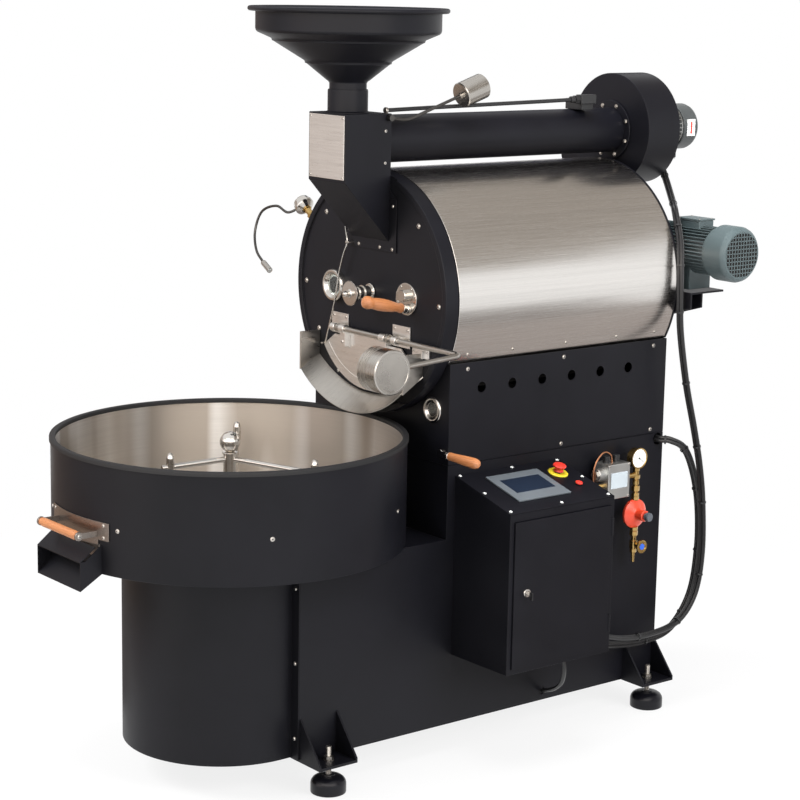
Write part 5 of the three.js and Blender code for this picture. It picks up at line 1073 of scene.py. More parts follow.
def build_exhaust():
    """Exhaust pipe, fan housing with its outlet, and the fan's motor."""
    pipe = Piece("smoke_pipe", "black_paint")
    pipe.add(lathe([(65.5, -41), (68.5, -41), (68.5, 888.7), (91, 888.7), (92, 889.7), (92, 893.7), (91, 894.7),
                    (65.5, 894.7)], (0, 0, PIPE_Z), BACKWARD, FINE, True))
    bolt_circle(pipe, (0, 888.7, PIPE_Z), FORWARD, 80, 8, 0.5)
    pipe.done("machine", ["exhaust_pipe"])

    fan = Piece("fan_case", "black_paint")
    drum = lathe([(0, 895), (169, 895), (172, 897), (172, 1028), (169, 1030), (0, 1030)], (0, 0, FAN_Z), BACKWARD,
                 FINE)
    hollow = slug(169, 898, 1027, (0, 0, FAN_Z), BACKWARD, FINE)
    spigot = rod((-86, OUTLET_Y, OUTLET_Z), (-235, OUTLET_Y, OUTLET_Z), 55, steps=MID)
    spigot_bore = rod((-89, OUTLET_Y, OUTLET_Z), (-260, OUTLET_Y, OUTLET_Z), 52, steps=MID)
    inlet = rod((0, 880, PIPE_Z), (0, 915, PIPE_Z), 65.5, steps=MID)
    shaft = rod((0, 1010, FAN_Z), (0, 1050, FAN_Z), 12)
    fan.add(carve(join(drum, spigot), hollow, spigot_bore, inlet, shaft))
    bolt_circle(fan, (0, 1030, FAN_Z), BACKWARD, 160, 10)
    fan.done("machine", ["fan_housing"])

    motor = Piece("fan_motor_body", "aluminium")
    motor.add(lathe([(0, 1060), (9.3, 1060), (9.3, 1030.3), (75, 1030.3), (75, 1038), (73, 1040.3), (60, 1040.3),
                     (60, 1152), (70, 1152), (72, 1154), (72, 1206), (69, 1214), (59, 1222), (40, 1224), (0, 1224)],
                    (0, 0, FAN_Z), BACKWARD), "grey_casting")
    fins(motor, (0, 1044, FAN_Z), (0, 1148, FAN_Z), 60, 7, 32, "aluminium")
    motor.add(washer(60.5, 67, 1041, 1046, (0, 0, FAN_Z), BACKWARD, MID))
    motor.add(washer(60.5, 67, 1146, 1151, (0, 0, FAN_Z), BACKWARD, MID))
    motor.add(block((-31, 1052, 1669), (51, 1140, 1702), 3, 3), "black_plastic")
    motor.add(block((-29, 1054, 1665.6), (49, 1138, 1669.2), 1.2))
    motor.add(rod((51, 1096, 1686), (64, 1096, 1686), 9, edge=1), "black_plastic")
    motor.add(block((68, 1164, 1738), (73.2, 1198, 1790), 0.5), "dial_white")
    motor.add(block((73, 1177, 1745), (73.6, 1185, 1783), 0.2, 1), "red_plastic")
    motor.done("machine", ["fan_motor"])

    conduit = Piece("lead_conduit", "black_plastic")
    route = smooth_line([(60, -44, 1846), (60, 120, 1850), (60, 360, 1855), (60, 560, 1859), (60, 690, 1862)], 8)
    conduit.add(tube(route, 6), "cable")
    conduit.add(rod((60, 666, 1862), (60, 682, 1862), 10, edge=1))
    conduit.add(slug(13.2, 682, 700, (60, 0, 1862), BACKWARD, 6))
    conduit.add(block((46, 700, 1848), (74, 762, 1876), 2.5, 3))
    conduit.add(block((-14, 714, 1829.8), (60, 762, 1862), 1.5))
    conduit.add(rod((60, -46, 1846), (60, -38, 1846), 9, edge=1), "zinc")
    conduit.done("machine", ["sensor_conduit"])
    dress("fan_impeller", "aluminium", 0)


# Drum drive

def build_drive():
    """Worm gearbox, finned motor and the bracket that carries them."""
    gearbox = Piece("worm_gearbox", "motor_paint")
    edge = 26
    outline = [(-88 + edge, 1232), (88 - edge, 1232), (88, 1232 + edge), (88, 1492 - edge), (88 - edge, 1492),
               (-88 + edge, 1492), (-88, 1492 - edge), (-88, 1232 + edge)]
    case = prism(outline, "y", 888, 1012, 5, 3)
    flange = rod((0, 859.3, DRUM_Z), (0, 908, DRUM_Z), 70, edge=2, steps=MID)
    bore = rod((0, 840, DRUM_Z), (0, 1040, DRUM_Z), 22.6, steps=MID)
    gearbox.add(carve(join(case, flange), bore))
    cover = lathe([(26, 1012), (76, 1012), (76, 1015), (72, 1018), (30, 1018), (26, 1016)], DRUM_AXIS, BACKWARD,
                  ring=True)
    gearbox.add(cover)
    bolt_circle(gearbox, (0, 1018, DRUM_Z), BACKWARD, 66, 8)
    gearbox.add(rod((-60, 950, 1492), (-60, 950, 1502), 9, edge=1, steps=6), "zinc")
    gearbox.done("machine", ["drum_gearbox"])

    motor = Piece("drum_motor_body", "motor_paint")
    y, z = 950, 1421
    motor.add(lathe([(0, 88.3), (78, 88.3), (80, 90), (80, 98.3), (78, 100.3), (61, 100.3), (61, 448), (82, 448),
                     (84, 450), (84, 508), (81, 517), (74, 524), (70, 526), (0, 526)], (0, y, z), OUT))
    fins(motor, (112, y, z), (444, y, z), 61, 13, 40, "motor_paint")
    motor.add(washer(61.5, 76, 100.3, 112, (0, y, z), OUT, MID))
    motor.add(washer(61.5, 76, 434, 448, (0, y, z), OUT, MID))
    for x in (221, 344):
        motor.add(block((x - 15, y - 46, 1300.3), (x + 15, y + 46, 1372), 2.5))
    motor.add(block((284, 919, 1460), (377, 981, 1510), 3, 3))
    motor.add(block((281, 916, 1510), (380, 984, 1515), 1.5))
    for dx in (289, 372):
        for dy in (924, 976):
            screw(motor, (dx, dy, 1514.4), UP, 3.2)
    motor.add(block((150, y - 74.5, z - 20), (215, y - 72, z + 22), 0.6), "zinc")
    grid = [-66 + 12 * i for i in range(12)]
    for at in grid:
        reach = math.sqrt(max(68 ** 2 - at ** 2, 0))
        motor.add(block((525.2, y + at - 1.4, z - reach), (527.2, y + at + 1.4, z + reach), 0.4, 1))
        motor.add(block((525.2, y - reach, z + at - 1.4), (527.2, y + reach, z + at + 1.4), 0.4, 1))
    # Painted shade: a near-black disc just behind the grille stands in for the dark inside of the motor's cowl.
    motor.add(slug(68, 526, 526.3, (0, y, z), OUT, MID), "dark_hollow")
    motor.done("machine", ["drum_motor"]).visible_glossy = False
    dress("motor_bracket", "black_paint", 1.2)


# Cooling tray

def build_tray():
    """Tray shell with its hooded spout, the steel liner and the rubber rim."""
    shell = Piece("tray_wall", "black_paint")
    centre = (0, TRAY_Y, 0)
    wall = lathe([(493, 656.6), (493.6, 656), (495.4, 656), (496, 656.6), (496, 956.2), (493, 956.2)], centre, UP,
                 192, True)
    spout_top = 737
    mouth = block((-109, TRAY_FRONT - 20, 703), (109, TRAY_Y - 440, spout_top))
    shell.add(carve(wall, mouth))
    shell.add(washer(15, 494.5, 656, 659, centre, UP, FINE))
    shell.add(washer(472, 494.5, 696.7, 699.7, centre, UP, FINE))
    shell.add(washer(259, 262, 642.3, 657.5, centre, UP, EVEN))
    chord = TRAY_Y - math.sqrt(TRAY_RADIUS ** 2 - 115 ** 2)
    front = TRAY_FRONT
    cheek = [(chord + 1.5, spout_top), (front - 36, spout_top - 40), (front - 51, spout_top - 40),
             (front - 51, spout_top - 120), (chord + 1.5, spout_top - 81)]
    parts = [prism(cheek, "x", side * 113.5 - 1.5, side * 113.5 + 1.5, 0.8) for side in (-1, 1)]
    parts.append(prism([(front - 6, spout_top - 4.8), (front - 6, spout_top - 7.8), (front - 51, spout_top - 43),
                        (front - 51, spout_top - 40)], "x", -113.5, 113.5))
    parts.append(prism([(chord + 12, 703), (front - 51, spout_top - 117), (front - 51, spout_top - 120),
                        (chord + 12, 697)], "x", -113.5, 113.5))
    for part in parts:
        inside = slug(494.5, 600, 960, centre, UP, ROUND)
        shell.add(carve(part, inside))
    for angle in (-110, -70, -21, 33.7, 146, 201):
        a = math.radians(angle)
        place = (TRAY_RADIUS * math.cos(a), TRAY_Y + TRAY_RADIUS * math.sin(a), 782)
        screw(shell, place, (math.cos(a), math.sin(a), 0), sizes()["panel_screw"])
    shell.done("machine", ["tray_shell"])

    liner = Piece("tray_lining", "tray_steel")
    wall = lathe([(486.1, 702), (489, 700), (489, 956.2), (486, 956.2)], centre, UP, ROUND, True)
    mouth = block((-109, TRAY_FRONT, 703), (109, TRAY_Y - 440, spout_top))
    liner.add(carve(wall, mouth))
    liner.add(washer(15, 488.5, 700, 703, centre, UP, FINE), "perforated_floor")
    liner.done("machine", ["tray_liner"])

    trim = Piece("rubber_rim", "rubber")
    section = [(496.3, 950), (499.5, 950), (499.5, 958.5), (498.4, 960.8), (496, 962), (486, 962), (483.6, 960.8),
               (482.5, 958.5), (482.5, 950), (485.7, 950), (485.7, 956.5), (496.3, 956.5)]
    trim.add(lathe(section, centre, UP, ROUND, True))
    trim.done("machine", ["rim_trim"])


def build_tray_gate():
    """Gate that lifts to let the beans out, with two arms and a wooden grip."""
    gate = Piece("tray_gate_plate", "gate_steel")

    def curved(half, low, high, edge):
        outline = [*arc(0, TRAY_Y, GATE_RADIUS, -90 - half, -90 + half, 24),
                   *arc(0, TRAY_Y, 496.3, -90 + half, -90 - half, 24)]
        return prism(outline, "z", low, high, edge)
    gate.add(curved(16.8, 749, 798, 0.8))
    gate.add(curved(12.2, 703.3, 749.5, 0.6))
    grip_y = TRAY_FRONT - 46
    for side in (-1, 1):
        at = side * (97 + FIT + 3)
        root = TRAY_Y - math.sqrt(GATE_RADIUS ** 2 - at ** 2) + 1.5
        arm = block((at - 3, grip_y, 756), (at + 3, root, 772), 1.0)
        eye = rod((at - 3, grip_y, 764), (at + 3, grip_y, 764), 12.4, edge=1)
        gate.add(join(arm, eye))
        screw(gate, (at + side * 3, grip_y, 764), (side, 0, 0), 5.0)
        for z in (757, 790):
            a = math.radians(-90 + side * 14.6)
            place = (GATE_RADIUS * math.cos(a), TRAY_Y + GATE_RADIUS * math.sin(a), z)
            screw(gate, place, (math.cos(a), math.sin(a), 0), 4.0)
    gate.done("tray_slide", ["tray_gate"])
    grip = Piece("tray_gate_grip", "wood_along_x")
    profile = [(0, 0), (9, 0), (10.6, 2), (11, 5), (12.2, 14), (12.5, 24), (12, 60), (12.3, 97), (12, 134),
               (12.5, 170), (12.2, 180), (11, 189), (10.6, 192), (9, 194), (0, 194)]
    grip.add(lathe(profile, (-97, grip_y, 764), OUT))
    grip.done("tray_slide", ["gate_grip"])


def build_stirrer():
    """Stirrer: sleeve with ball knob, and three arms of different reach with post, cap nut and blade."""
    stirrer = Piece("tray_stirrer", "polished_steel")
    spine = [(0, 647), (12, 647), (12, 714), (17.5, 714), (19, 715.5), (19, 900), (22, 901), (22, 904.5), (21, 905.5),
             (14, 906), (11, 908), (0, 908)]
    stirrer.add(lathe(spine, (0, TRAY_Y, 0), UP))
    stirrer.add(ball((0, TRAY_Y, 935), 29, MID))
    acorn = [(0, 8), (13, 8), (13, 10), (11.5, 10), (12, 10.6), (12, 24), (11, 26), (10.4, 30), (8, 36), (4, 39.4),
             (0, 40)]
    for i in range(3):
        reach = 368 - 92 * i
        height = 886 - 10 * reach / 368
        end = height - 10 * 25 / 368
        parts = [rod((10, 0, 886), (reach + 25, 0, end), 8, edge=1), rod((reach, 0, 751), (reach, 0, height + 12), 6),
                 lathe(acorn, (reach, 0, height), UP, SMALL), slug(12, -15, 9, (reach, 0, height), UP),
                 block((reach - 94, -2, 714), (reach + 94, 2, 788), 0.8)]
        for shape in parts:
            turned_about(shape, (0, 0, 0), 143 - 120 * i)
            stirrer.add(moved(shape, y=TRAY_Y))
    stirrer.done("stirrer", ["stirrer"])


# Control cabinet

PANEL_ANGLE = math.atan((827.7 - 763.2) / 242.5)
PANEL_NORMAL = Vector((math.sin(PANEL_ANGLE), 0, math.cos(PANEL_ANGLE)))


def on_panel(along, y, lift=0.0):
    """A point on the sloping panel: along it from the wall, and above it."""
    down = Vector((math.cos(PANEL_ANGLE), 0, -math.sin(PANEL_ANGLE)))
    return Vector((320, y, 827.7)) + down * along + PANEL_NORMAL * lift


def panel_block(along, y, lift, edge=0.0, segments=2):
    """A box that lies on the panel, each argument a range."""
    shape = block((along[0], y[0], lift[0]), (along[1], y[1], lift[1]), edge, segments)
    shape.transform(Matrix.Translation((320, 0, 827.7)) @ Matrix.Rotation(PANEL_ANGLE, 4, "Y"))
    return shape


def build_cabinet():
    """Control cabinet: body, door, lock, panel, touch screen and buttons."""
    dress("cabinet_body", "black_paint", 0.8)
    dress("cabinet_door", "black_paint", 0.9)
    panel = Piece("sloping_panel", "black_paint")
    lid = panel_block((0.3, 250.9), (27.5, 425), (-3, 0), 0.8)
    ring = lathe([(11.3, 0), (30, 0), (30, 1.4), (27.5, 3.6), (24, 4), (17, 4), (17, 2.4), (11.3, 2.4)],
                 on_panel(*STOP_PLACE), PANEL_NORMAL, ring=True)
    cutters = [rod(on_panel(*STOP_PLACE, -20), on_panel(*STOP_PLACE, 20), 11.3),
               rod(on_panel(*START_PLACE, -20), on_panel(*START_PLACE, 20), 8)]
    panel.add(carve(lid, *cutters))
    panel.add(ring, "yellow_plastic")
    for along, y in ((7, 40), (7, 236), (7, 413), (120, 40), (120, 414), (236, 40), (236, 232), (236, 413)):
        screw(panel, on_panel(along, y), PANEL_NORMAL, 4.0, "dial_white", False)
    panel.done("machine", ["control_panel"])

    screen = Piece("touch_panel", "bezel_plastic")
    screen.add(panel_block((43, 198), (104, 301), (0.3, 5.6), 1.6, 3))
    screen.add(panel_block((76, 156), (130, 277), (5, 5.9), 0.3, 1), "display_glass")
    screen.done("machine", ["touch_screen"])

    stop = Piece("stop_button", "black_plastic")
    stop.add(slug(11, -12, 8, on_panel(*STOP_PLACE), PANEL_NORMAL))
    stop.add(lathe([(0, 8), (15.5, 8), (14, 10.5), (13, 13), (13.6, 16.5), (16.5, 19.5), (19.6, 21.6), (20, 23.6),
                    (19.4, 25.4), (17, 27), (12, 27.8), (0, 28)], on_panel(*STOP_PLACE), PANEL_NORMAL), "red_plastic")
    stop.done("stop", ["emergency_stop"])
    start = Piece("push_button", "black_plastic")
    start.add(slug(7.7, -9, 3.6, on_panel(*START_PLACE), PANEL_NORMAL))
    start.add(lathe([(0, 3.6), (10.4, 3.6), (11, 4.4), (11, 6.6), (10, 8), (7, 8.8), (0, 9)], on_panel(*START_PLACE),
                    PANEL_NORMAL), "red_plastic")
    start.done("start", ["start_button"])

    lock = Piece("cabinet_key_lock", "zinc")
    place = Vector((567.8, 91.5, 533.5))
    place.z = (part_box("door_lock")[0].z + 5.4 * MM) / MM
    lock.add(rod((553.5, 91.5, place.z), (567.8, 91.5, place.z), 6.3))
    lock.add(lathe([(0, 0), (12.5, 0), (12.5, 1.6), (11, 4), (7.5, 4.4), (7, 6), (0, 6)], place, OUT, SMALL),
             "polished_steel")
    lock.add(block((573, 90.4, place.z - 4), (585, 92.6, place.z + 4), 0.5, 1))
    lock.add(block((580, 89.8, place.z - 17), (594, 93.2, place.z + 5), 1.2), "black_plastic")
    lock.add(block((553.5, 86.1, place.z - 5.4), (556.5, 96.9, place.z + 44), 0.6))
    lock.done("lock", ["door_lock"])


# Gas train

def gas(z, x=0.0):
    """A point of the gas train, at a height and so far out from its stem."""
    return (GAS_X + x, GAS_Y, z)


def build_gas():
    """Gas valve, gauge with brass fittings, red regulator, and the cock with its wheel."""
    valve = Piece("gas_valve_block", "aluminium")
    valve.add(block((336, 556, 697), (400, 645, 804), 3, 3))
    valve.add(block((320.3, 576, 717), (339, 625, 784), 1.5))
    valve.add(block((399.4, 566, 730), (401.6, 634, 778), 0.6), "label_white")
    for y, z in ((561, 702), (640, 702), (561, 799), (640, 799)):
        screw(valve, (400, y, z), OUT, 3.4)
    for y in (578, 618):
        valve.add(rod((GAS_X, y, 801), (GAS_X, y, 824), 11, edge=1.5), "black_plastic")
    valve.add(rod((372, 531, 772), (372, 558, 772), 20, edge=2, steps=MID))
    valve.add(slug(14, -8, 0, (372, 531, 772), BACKWARD, 6), "zinc")
    valve.add(rod((372, 540, 735), (372, 558, 735), 8, edge=1, steps=6), "brass")
    loop = smooth_line([(372, 545, 735), (372, 528, 742), (372, 519, 770), (372, 530, 812), (372, 560, 838),
                        (372, 588, 828), (372, 596, 803)], 6)
    valve.add(tube(loop, 2.4, 12), "copper")
    valve.done("machine", ["gas_valve"])

    gauge = Piece("gas_gauge", "brass")
    rear = GAS_X - 13
    centre = (rear, GAS_Y, 803)
    gauge.add(lathe([(0, 0), (28, 0), (30, 1.5), (30, 22), (32, 23), (32, 26), (29.5, 26.4), (28, 24), (0, 24)],
                    centre, OUT))
    gauge.add(slug(28, 24, 24.5, centre, OUT, MID), "dial_white")
    gauge.add(lathe([(29.2, 21.8), (32.1, 21.8), (32.1, 26.2), (29.2, 26.5)], centre, OUT, ring=True))
    for i in range(11):
        mark = block((24.3, -0.6, 20.5), (24.8, 0.6, 25.5))
        turned_about(mark, (0, 0, 0), -125 + 25 * i, "X")
        gauge.add(moved(mark, rear, GAS_Y, 803), "black_plastic")
    needle = block((24.6, -0.8, -5), (25.2, 0.8, 20))
    turned_about(needle, (0, 0, 0), -125, "X")
    gauge.add(moved(needle, rear, GAS_Y, 803), "black_plastic")
    gauge.add(slug(3, 24.3, 25.6, centre, OUT), "black_plastic")
    gauge.add(rod(gas(684), gas(774), 7.5))
    for low, high, radius, sides in ((684, 694, 12, 6), (700, 716, 13, 6), (720, 734, 10, SMALL), (738, 750, 13, 6),
                                     (752, 764, 9, SMALL), (762, 773, 11, 6)):
        gauge.add(lathe([(0, 0), (radius - 1, 0), (radius, 1), (radius, high - low - 1), (radius - 1, high - low),
                         (0, high - low)], gas(low), UP, sides))
    gauge.add(rod((GAS_X, 645.3, 750.5), gas(750.5), 8))
    gauge.add(slug(12, 0, 13, (GAS_X, 652, 750.5), BACKWARD, 6))
    gauge.done("machine", ["pressure_gauge"])

    regulator = Piece("gas_pressure_regulator", "brass")
    back = GAS_X - 17
    centre = (back, GAS_Y, 630)
    regulator.add(lathe([(0, 0), (30, 0), (36, 3), (42, 8), (45, 11), (45.4, 14), (45.4, 17), (45, 20), (41, 23),
                         (36, 26), (24, 32), (20, 34), (18, 36), (17, 40), (17, 62), (15, 64), (0, 64)], centre, OUT,
                        FINE), "red_paint")
    for i in range(8):
        a = math.tau * i / 8
        screw(regulator, (back + 20, GAS_Y + 40 * math.cos(a), 630 + 40 * math.sin(a)), OUT, 3.0)
    regulator.add(rod(gas(672), gas(683.7), 12.4, edge=1, steps=6))
    regulator.add(rod(gas(576.3), gas(588), 12.4, edge=1, steps=6))
    regulator.done("machine", ["gas_regulator"])
    knob = Piece("regulator_cap", "knob_plastic")
    knob.add(lathe([(0, 0.3), (9, 0.3), (10, 5), (13, 6.5), (13, 18), (12, 20), (0, 20)], (back + 64, GAS_Y, 630),
                   OUT))
    for i in range(20):
        rib = block((7, -0.7, 12.6), (18, 0.7, 13.5), 0.3, 1)
        turned_about(rib, (0, 0, 0), 18 * i, "X")
        knob.add(moved(rib, back + 64, GAS_Y, 630))
    knob.done("pressure_knob", ["regulator_knob"])

    cock = Piece("gas_cock_body", "brass")
    cock.add(rod(gas(520), gas(546), 12.5, edge=1.5))
    cock.add(rod(gas(545), gas(576), 8))
    cock.add(rod(gas(561), gas(576), 13, edge=1, steps=6))
    cock.add(lathe([(0, 0), (4.5, 0), (5, 4), (4.2, 8), (5.4, 12), (4.6, 16), (6, 20), (5.4, 24), (8, 30), (8, 43),
                    (0, 43)], gas(478), UP, SMALL))
    cock.add(rod(gas(508), gas(520), 11, edge=1, steps=6))
    cock.add(rod(gas(533), gas(533, 30), 7))
    cock.add(rod(gas(533, 14), gas(533, 23), 9, edge=1, steps=6))
    cock.done("machine", ["gas_cock"])
    wheel = Piece("cock_hand_wheel", "brass")
    centre = gas(533, 30)
    wheel.add(lathe([(0, 0.3), (8, 0.3), (9, 2.7), (15, 3), (20, 3.2), (20, 8.4), (19, 9), (14.5, 9), (13.5, 7.6),
                     (0, 7.6)], centre, OUT))
    for i in range(16):
        lobe = rod((3.4, 0, 19.2), (8.6, 0, 19.2), 1.4, steps=TINY)
        turned_about(lobe, (0, 0, 0), 22.5 * i, "X")
        wheel.add(moved(lobe, GAS_X + 30, GAS_Y, 533))
    wheel.add(lathe([(0, 7.6), (9.5, 7.6), (9.5, 8.4), (0, 8.7)], centre, OUT, SMALL), "blue_plastic")
    wheel.done("cock_wheel", ["gas_handwheel"])


# Lamp, air lever, probe

def build_lamp():
    """Work lamp on its neck, with gooseneck and head."""
    lamp = Piece("gooseneck_lamp", "brass")
    turn = math.radians(148)
    way = Vector((math.cos(turn), 0, math.sin(turn)))
    centre = Vector((0, -30.5, DRUM_Z))
    lamp.add(lathe([(0, 353.6), (13, 353.6), (14, 355), (14, 365), (0, 365)], centre, way, 6))
    lamp.add(lathe([(0, 364), (10, 364), (10, 386), (13, 387), (13, 392), (0, 392)], centre, way, SMALL))
    lamp.add(lathe([(0, 391), (16, 391), (28, 401), (30, 404), (30, 412), (27.5, 416), (26.5, 424), (24, 428),
                    (8, 429), (0, 429)], centre, way), "polished_steel")
    start = centre + way * 411
    path = [start, (-386, -60, 1515), (-440, -66, 1530), (-505, -74, 1507), (-524, -86, 1446), (-490, -104, 1392),
            (-426, -122, 1362)]
    lamp.add(tube(smooth_line(path, 10), 4), "dark_steel")
    joint = Vector(path[-1])
    aim = (Vector((-366, -134, 1340)) - joint).normalized()
    lamp.add(lathe([(0, -4), (5, -4), (8.4, -1), (9, 1), (9, 12), (8.6, 13), (9, 14), (9, 50), (8, 52), (6.8, 50),
                    (0, 50)], joint, aim, SMALL), "worn_metal")
    lamp.add(slug(6.7, 49, 50.6, joint, aim), "dial_white")
    lamp.done("lamp", ["work_lamp"])


def build_air_lever():
    """Air lever at the body's corner, with its turned handle."""
    lever = Piece("air_lever_shaft", "polished_steel")
    lever.add(rod((AIR_X, -19, AIR_Z), (AIR_X, 20, AIR_Z), 6, edge=0.6))
    lever.add(rod((AIR_X, -19, AIR_Z), (AIR_X, -3, AIR_Z), 14, edge=1.2, steps=MID))
    lever.add(rod((AIR_X, -14, AIR_Z), (342, -14, 893), 6))
    lever.add(block((296, -19.2, 884), (330, -4, 902), 1.2))
    lever.add(rod((334, -14, 893), (342, -14, 893), 10.5, edge=1))
    lever.done("air_control", ["air_lever"])
    grip = Piece("air_lever_grip", "wood_along_x")
    profile = [(0, 0), (9.5, 0), (11.4, 2), (12, 6), (11.5, 12), (11.8, 24), (12.8, 44), (13.8, 66), (14.8, 90),
               (15, 102), (14.5, 113), (12.4, 121), (8.4, 126), (4, 127.8), (0, 128)]
    grip.add(lathe(profile, (342.3, -14, 893), OUT))
    grip.done("air_control", ["air_lever_handle"])


def build_probe():
    """Thin probe wire from the neck box down to a hook beside the door."""
    wire = Piece("probe_wire", "zinc")
    line = [(-112, -46, 1528), (-106, -54, 1500), (-90, -60, 1457), (-104, -62, 1420), (-125, -62, 1362),
            (-143, -62, 1282), (-171, -62, 1198), (-196, -56, 1150), (-214, -48, 1140), (-225, -42.5, 1139)]
    wire.add(tube(smooth_line(line, 8), sizes()["probe_wire"], 12), "polished_steel")
    wire.add(washer(3, 5.5, -1.5, 1.5, (-90, -60, 1457), OUT))
    wire.add(rod((-82, -60, 1457), (-82, SEAT_Y, 1457), 3, steps=TINY))
    wire.add(rod((-90, -60, 1457), (-80, -60, 1457), 2.4, steps=TINY))
    wire.add(rod((-225, -50, 1139), (-225, SEAT_Y, 1139), 3, steps=TINY))
    wire.add(rod((-112, -50, 1530), (-112, SEAT_Y, 1530), 4, steps=TINY))
    wire.done("machine")


# Leads

FAN_LEAD = [
    (30, 1100, 1666), (31, 1099, 1640), (110, 1048, 1590), (215, 968, 1546), (298, 894, 1530), (352, 864, 1450),
    (374, 848, 1380), (382, 844, 1290), (384, 850, 1180), (394, 874, 1020), (404, 906, 880), (410, 932, 760),
    (412, 950, 640), (412, 958, 480), (410, 936, 350), (408, 868, 272), (406, 760, 250), (404, 640, 256),
    (402, 520, 290), (400, 460, 318), (400, 416, 322),
]
BURNER_LEAD = [
    (314, 836, 838), (336, 836, 838), (356, 856, 836), (374, 900, 808), (382, 936, 730), (384, 962, 620),
    (384, 968, 480), (382, 944, 340), (378, 868, 244), (374, 760, 220), (370, 640, 228), (366, 520, 262),
    (362, 452, 320), (362, 416, 320),
]
CABINET_LEAD = [
    (470, 330, 295.6), (470, 330, 272), (462, 345, 226), (430, 366, 176), (386, 380, 142), (340, 386, 122),
    (322, 387, 116),
]


def bundle(name, points, radius, offsets, node, tie_steps):
    """A lead of several round cables side by side, with cable ties."""
    piece = Piece(name, "cable")
    line = smooth_line(points, 8)
    runs = [(b - a).normalized() for a, b in zip(line, line[1:])]
    runs.append(runs[-1])
    side = Vector((1, 0, 0))
    frames = []
    for way in runs:
        side = (side - way * side.dot(way)).normalized()
        frames.append((side.copy(), way.cross(side).normalized()))
    for across, up in offsets:
        path = [p + f[0] * across + f[1] * up for p, f in zip(line, frames)]
        piece.add(tube(path, radius, 12))
    reach = max(math.hypot(*o) for o in offsets) + radius
    for i in range(tie_steps, len(line) - 4, tie_steps):
        piece.add(washer(reach - 0.6, reach + 0.9, -2.5, 2.5, line[i], runs[i]), "tie")
    piece.done("machine", [node])


def build_leads():
    """The leads that the machine holds between its housings."""
    radius = sizes()["lead"]
    bundle("fan_lead_bundle", FAN_LEAD, radius, [(-5.2, 0), (5.2, 0)], "fan_lead", 12)
    bundle("burner_lead_bundle", BURNER_LEAD, radius, [(-6, -3), (6, -3), (0, 6)], "burner_lead", 12)
    bundle("cabinet_lead_bundle", CABINET_LEAD, radius, [(0, 0)], "cabinet_lead", 200)


def build_inside():
    """The drum behind the front plate."""
    dress("roasting_drum", "dark_iron", 0)


# Stage

CAMERA_PLACE = (4868.8, -3796.0, 2217.3)
CAMERA_TURN = Vector((1.6229943943999579, 0.8016000626208768, -0.6338219645704729))
CAMERA_LENS = 96.38
WHITE = (1, 1, 1, 1)


def build_stage():
    """Camera at the photograph's angle, soft lights, pale floor and white surround."""
    scene = bpy.context.scene
    scene.view_settings.view_transform = "Standard"
    camera = bpy.data.cameras.new("camera")
    camera.lens = CAMERA_LENS
    camera.sensor_width = 36
    camera.clip_end = 100
    holder = linked("camera", camera)
    turn = Matrix.Rotation(CAMERA_TURN.length, 3, CAMERA_TURN)
    flip = Matrix(((1, 0, 0), (0, -1, 0), (0, 0, -1)))
    pose = (turn.transposed() @ flip).to_4x4()
    pose.translation = TO_ROW @ Vector(CAMERA_PLACE)
    holder.matrix_world = pose
    scene.camera = holder

    world = bpy.data.worlds.new("studio")
    world.use_nodes = True
    scene.world = world
    tree = world.node_tree
    tree.nodes.clear()
    ambient = node(tree, "Background", 0, Color=WHITE, Strength=scene.roaster_stage.ambient)
    clear = node(tree, "Background", 0, Color=WHITE, Strength=1.0)
    output = tree.nodes.new("ShaderNodeOutputWorld")
    mix_shaders(tree, seen_directly(tree), ambient, clear, output.inputs["Surface"])

    for name, place, aim, size, power in (
        ("key_light", (-2600, -3600, 3600), (0, -200, 1100), (2600, 2600), scene.roaster_stage.key_power),
        ("side_light", (4200, 900, 2900), (0, 200, 1300), (2200, 2800), scene.roaster_stage.side_power),
        ("top_light", (300, -200, 4600), (0, 0, 1500), (2600, 2600), scene.roaster_stage.top_power),
    ):
        lamp = bpy.data.lights.new(name, "AREA")
        lamp.shape = "RECTANGLE"
        lamp.size, lamp.size_y = size[0] * MM, size[1] * MM
        lamp.energy = power
        lamp_holder = linked(name, lamp)
        lamp_holder.location = TO_ROW @ Vector(place)
        way = Vector(aim) - Vector(place)
        lamp_holder.rotation_mode = "QUATERNION"
        lamp_holder.rotation_quaternion = way.to_track_quat("-Z", "Y")
        lamp_holder.visible_camera = False
        lamp_holder.visible_glossy = False

    floor_shape = bmesh.new()
    bmesh.ops.create_grid(floor_shape, x_segments=1, y_segments=1, size=30.0)
    mesh = mesh_of(floor_shape, "floor")
    floor = linked("floor", mesh)
    mesh.materials.append(floor_finish())
    for name, corners, colour in CARDS:
        card(name, corners, colour)


def seen_directly(tree):
    """1 for what the camera, a mirror or glass shows, and 0 for what only lights the object."""
    path = tree.nodes.new("ShaderNodeLightPath").outputs
    first = maths(tree, "Math", "MAXIMUM", 0, path["Is Camera Ray"], path["Is Glossy Ray"])
    return maths(tree, "Math", "MAXIMUM", 0, first, path["Is Transmission Ray"])


def mix_shaders(tree, share, first, second, socket):
    """Feeds a socket with two shaders mixed by a share."""
    mix = tree.nodes.new("ShaderNodeMixShader")
    for entry, value in zip(mix.inputs, (share, first, second)):
        tree.links.new(value, entry)
    tree.links.new(mix.outputs[0], socket)


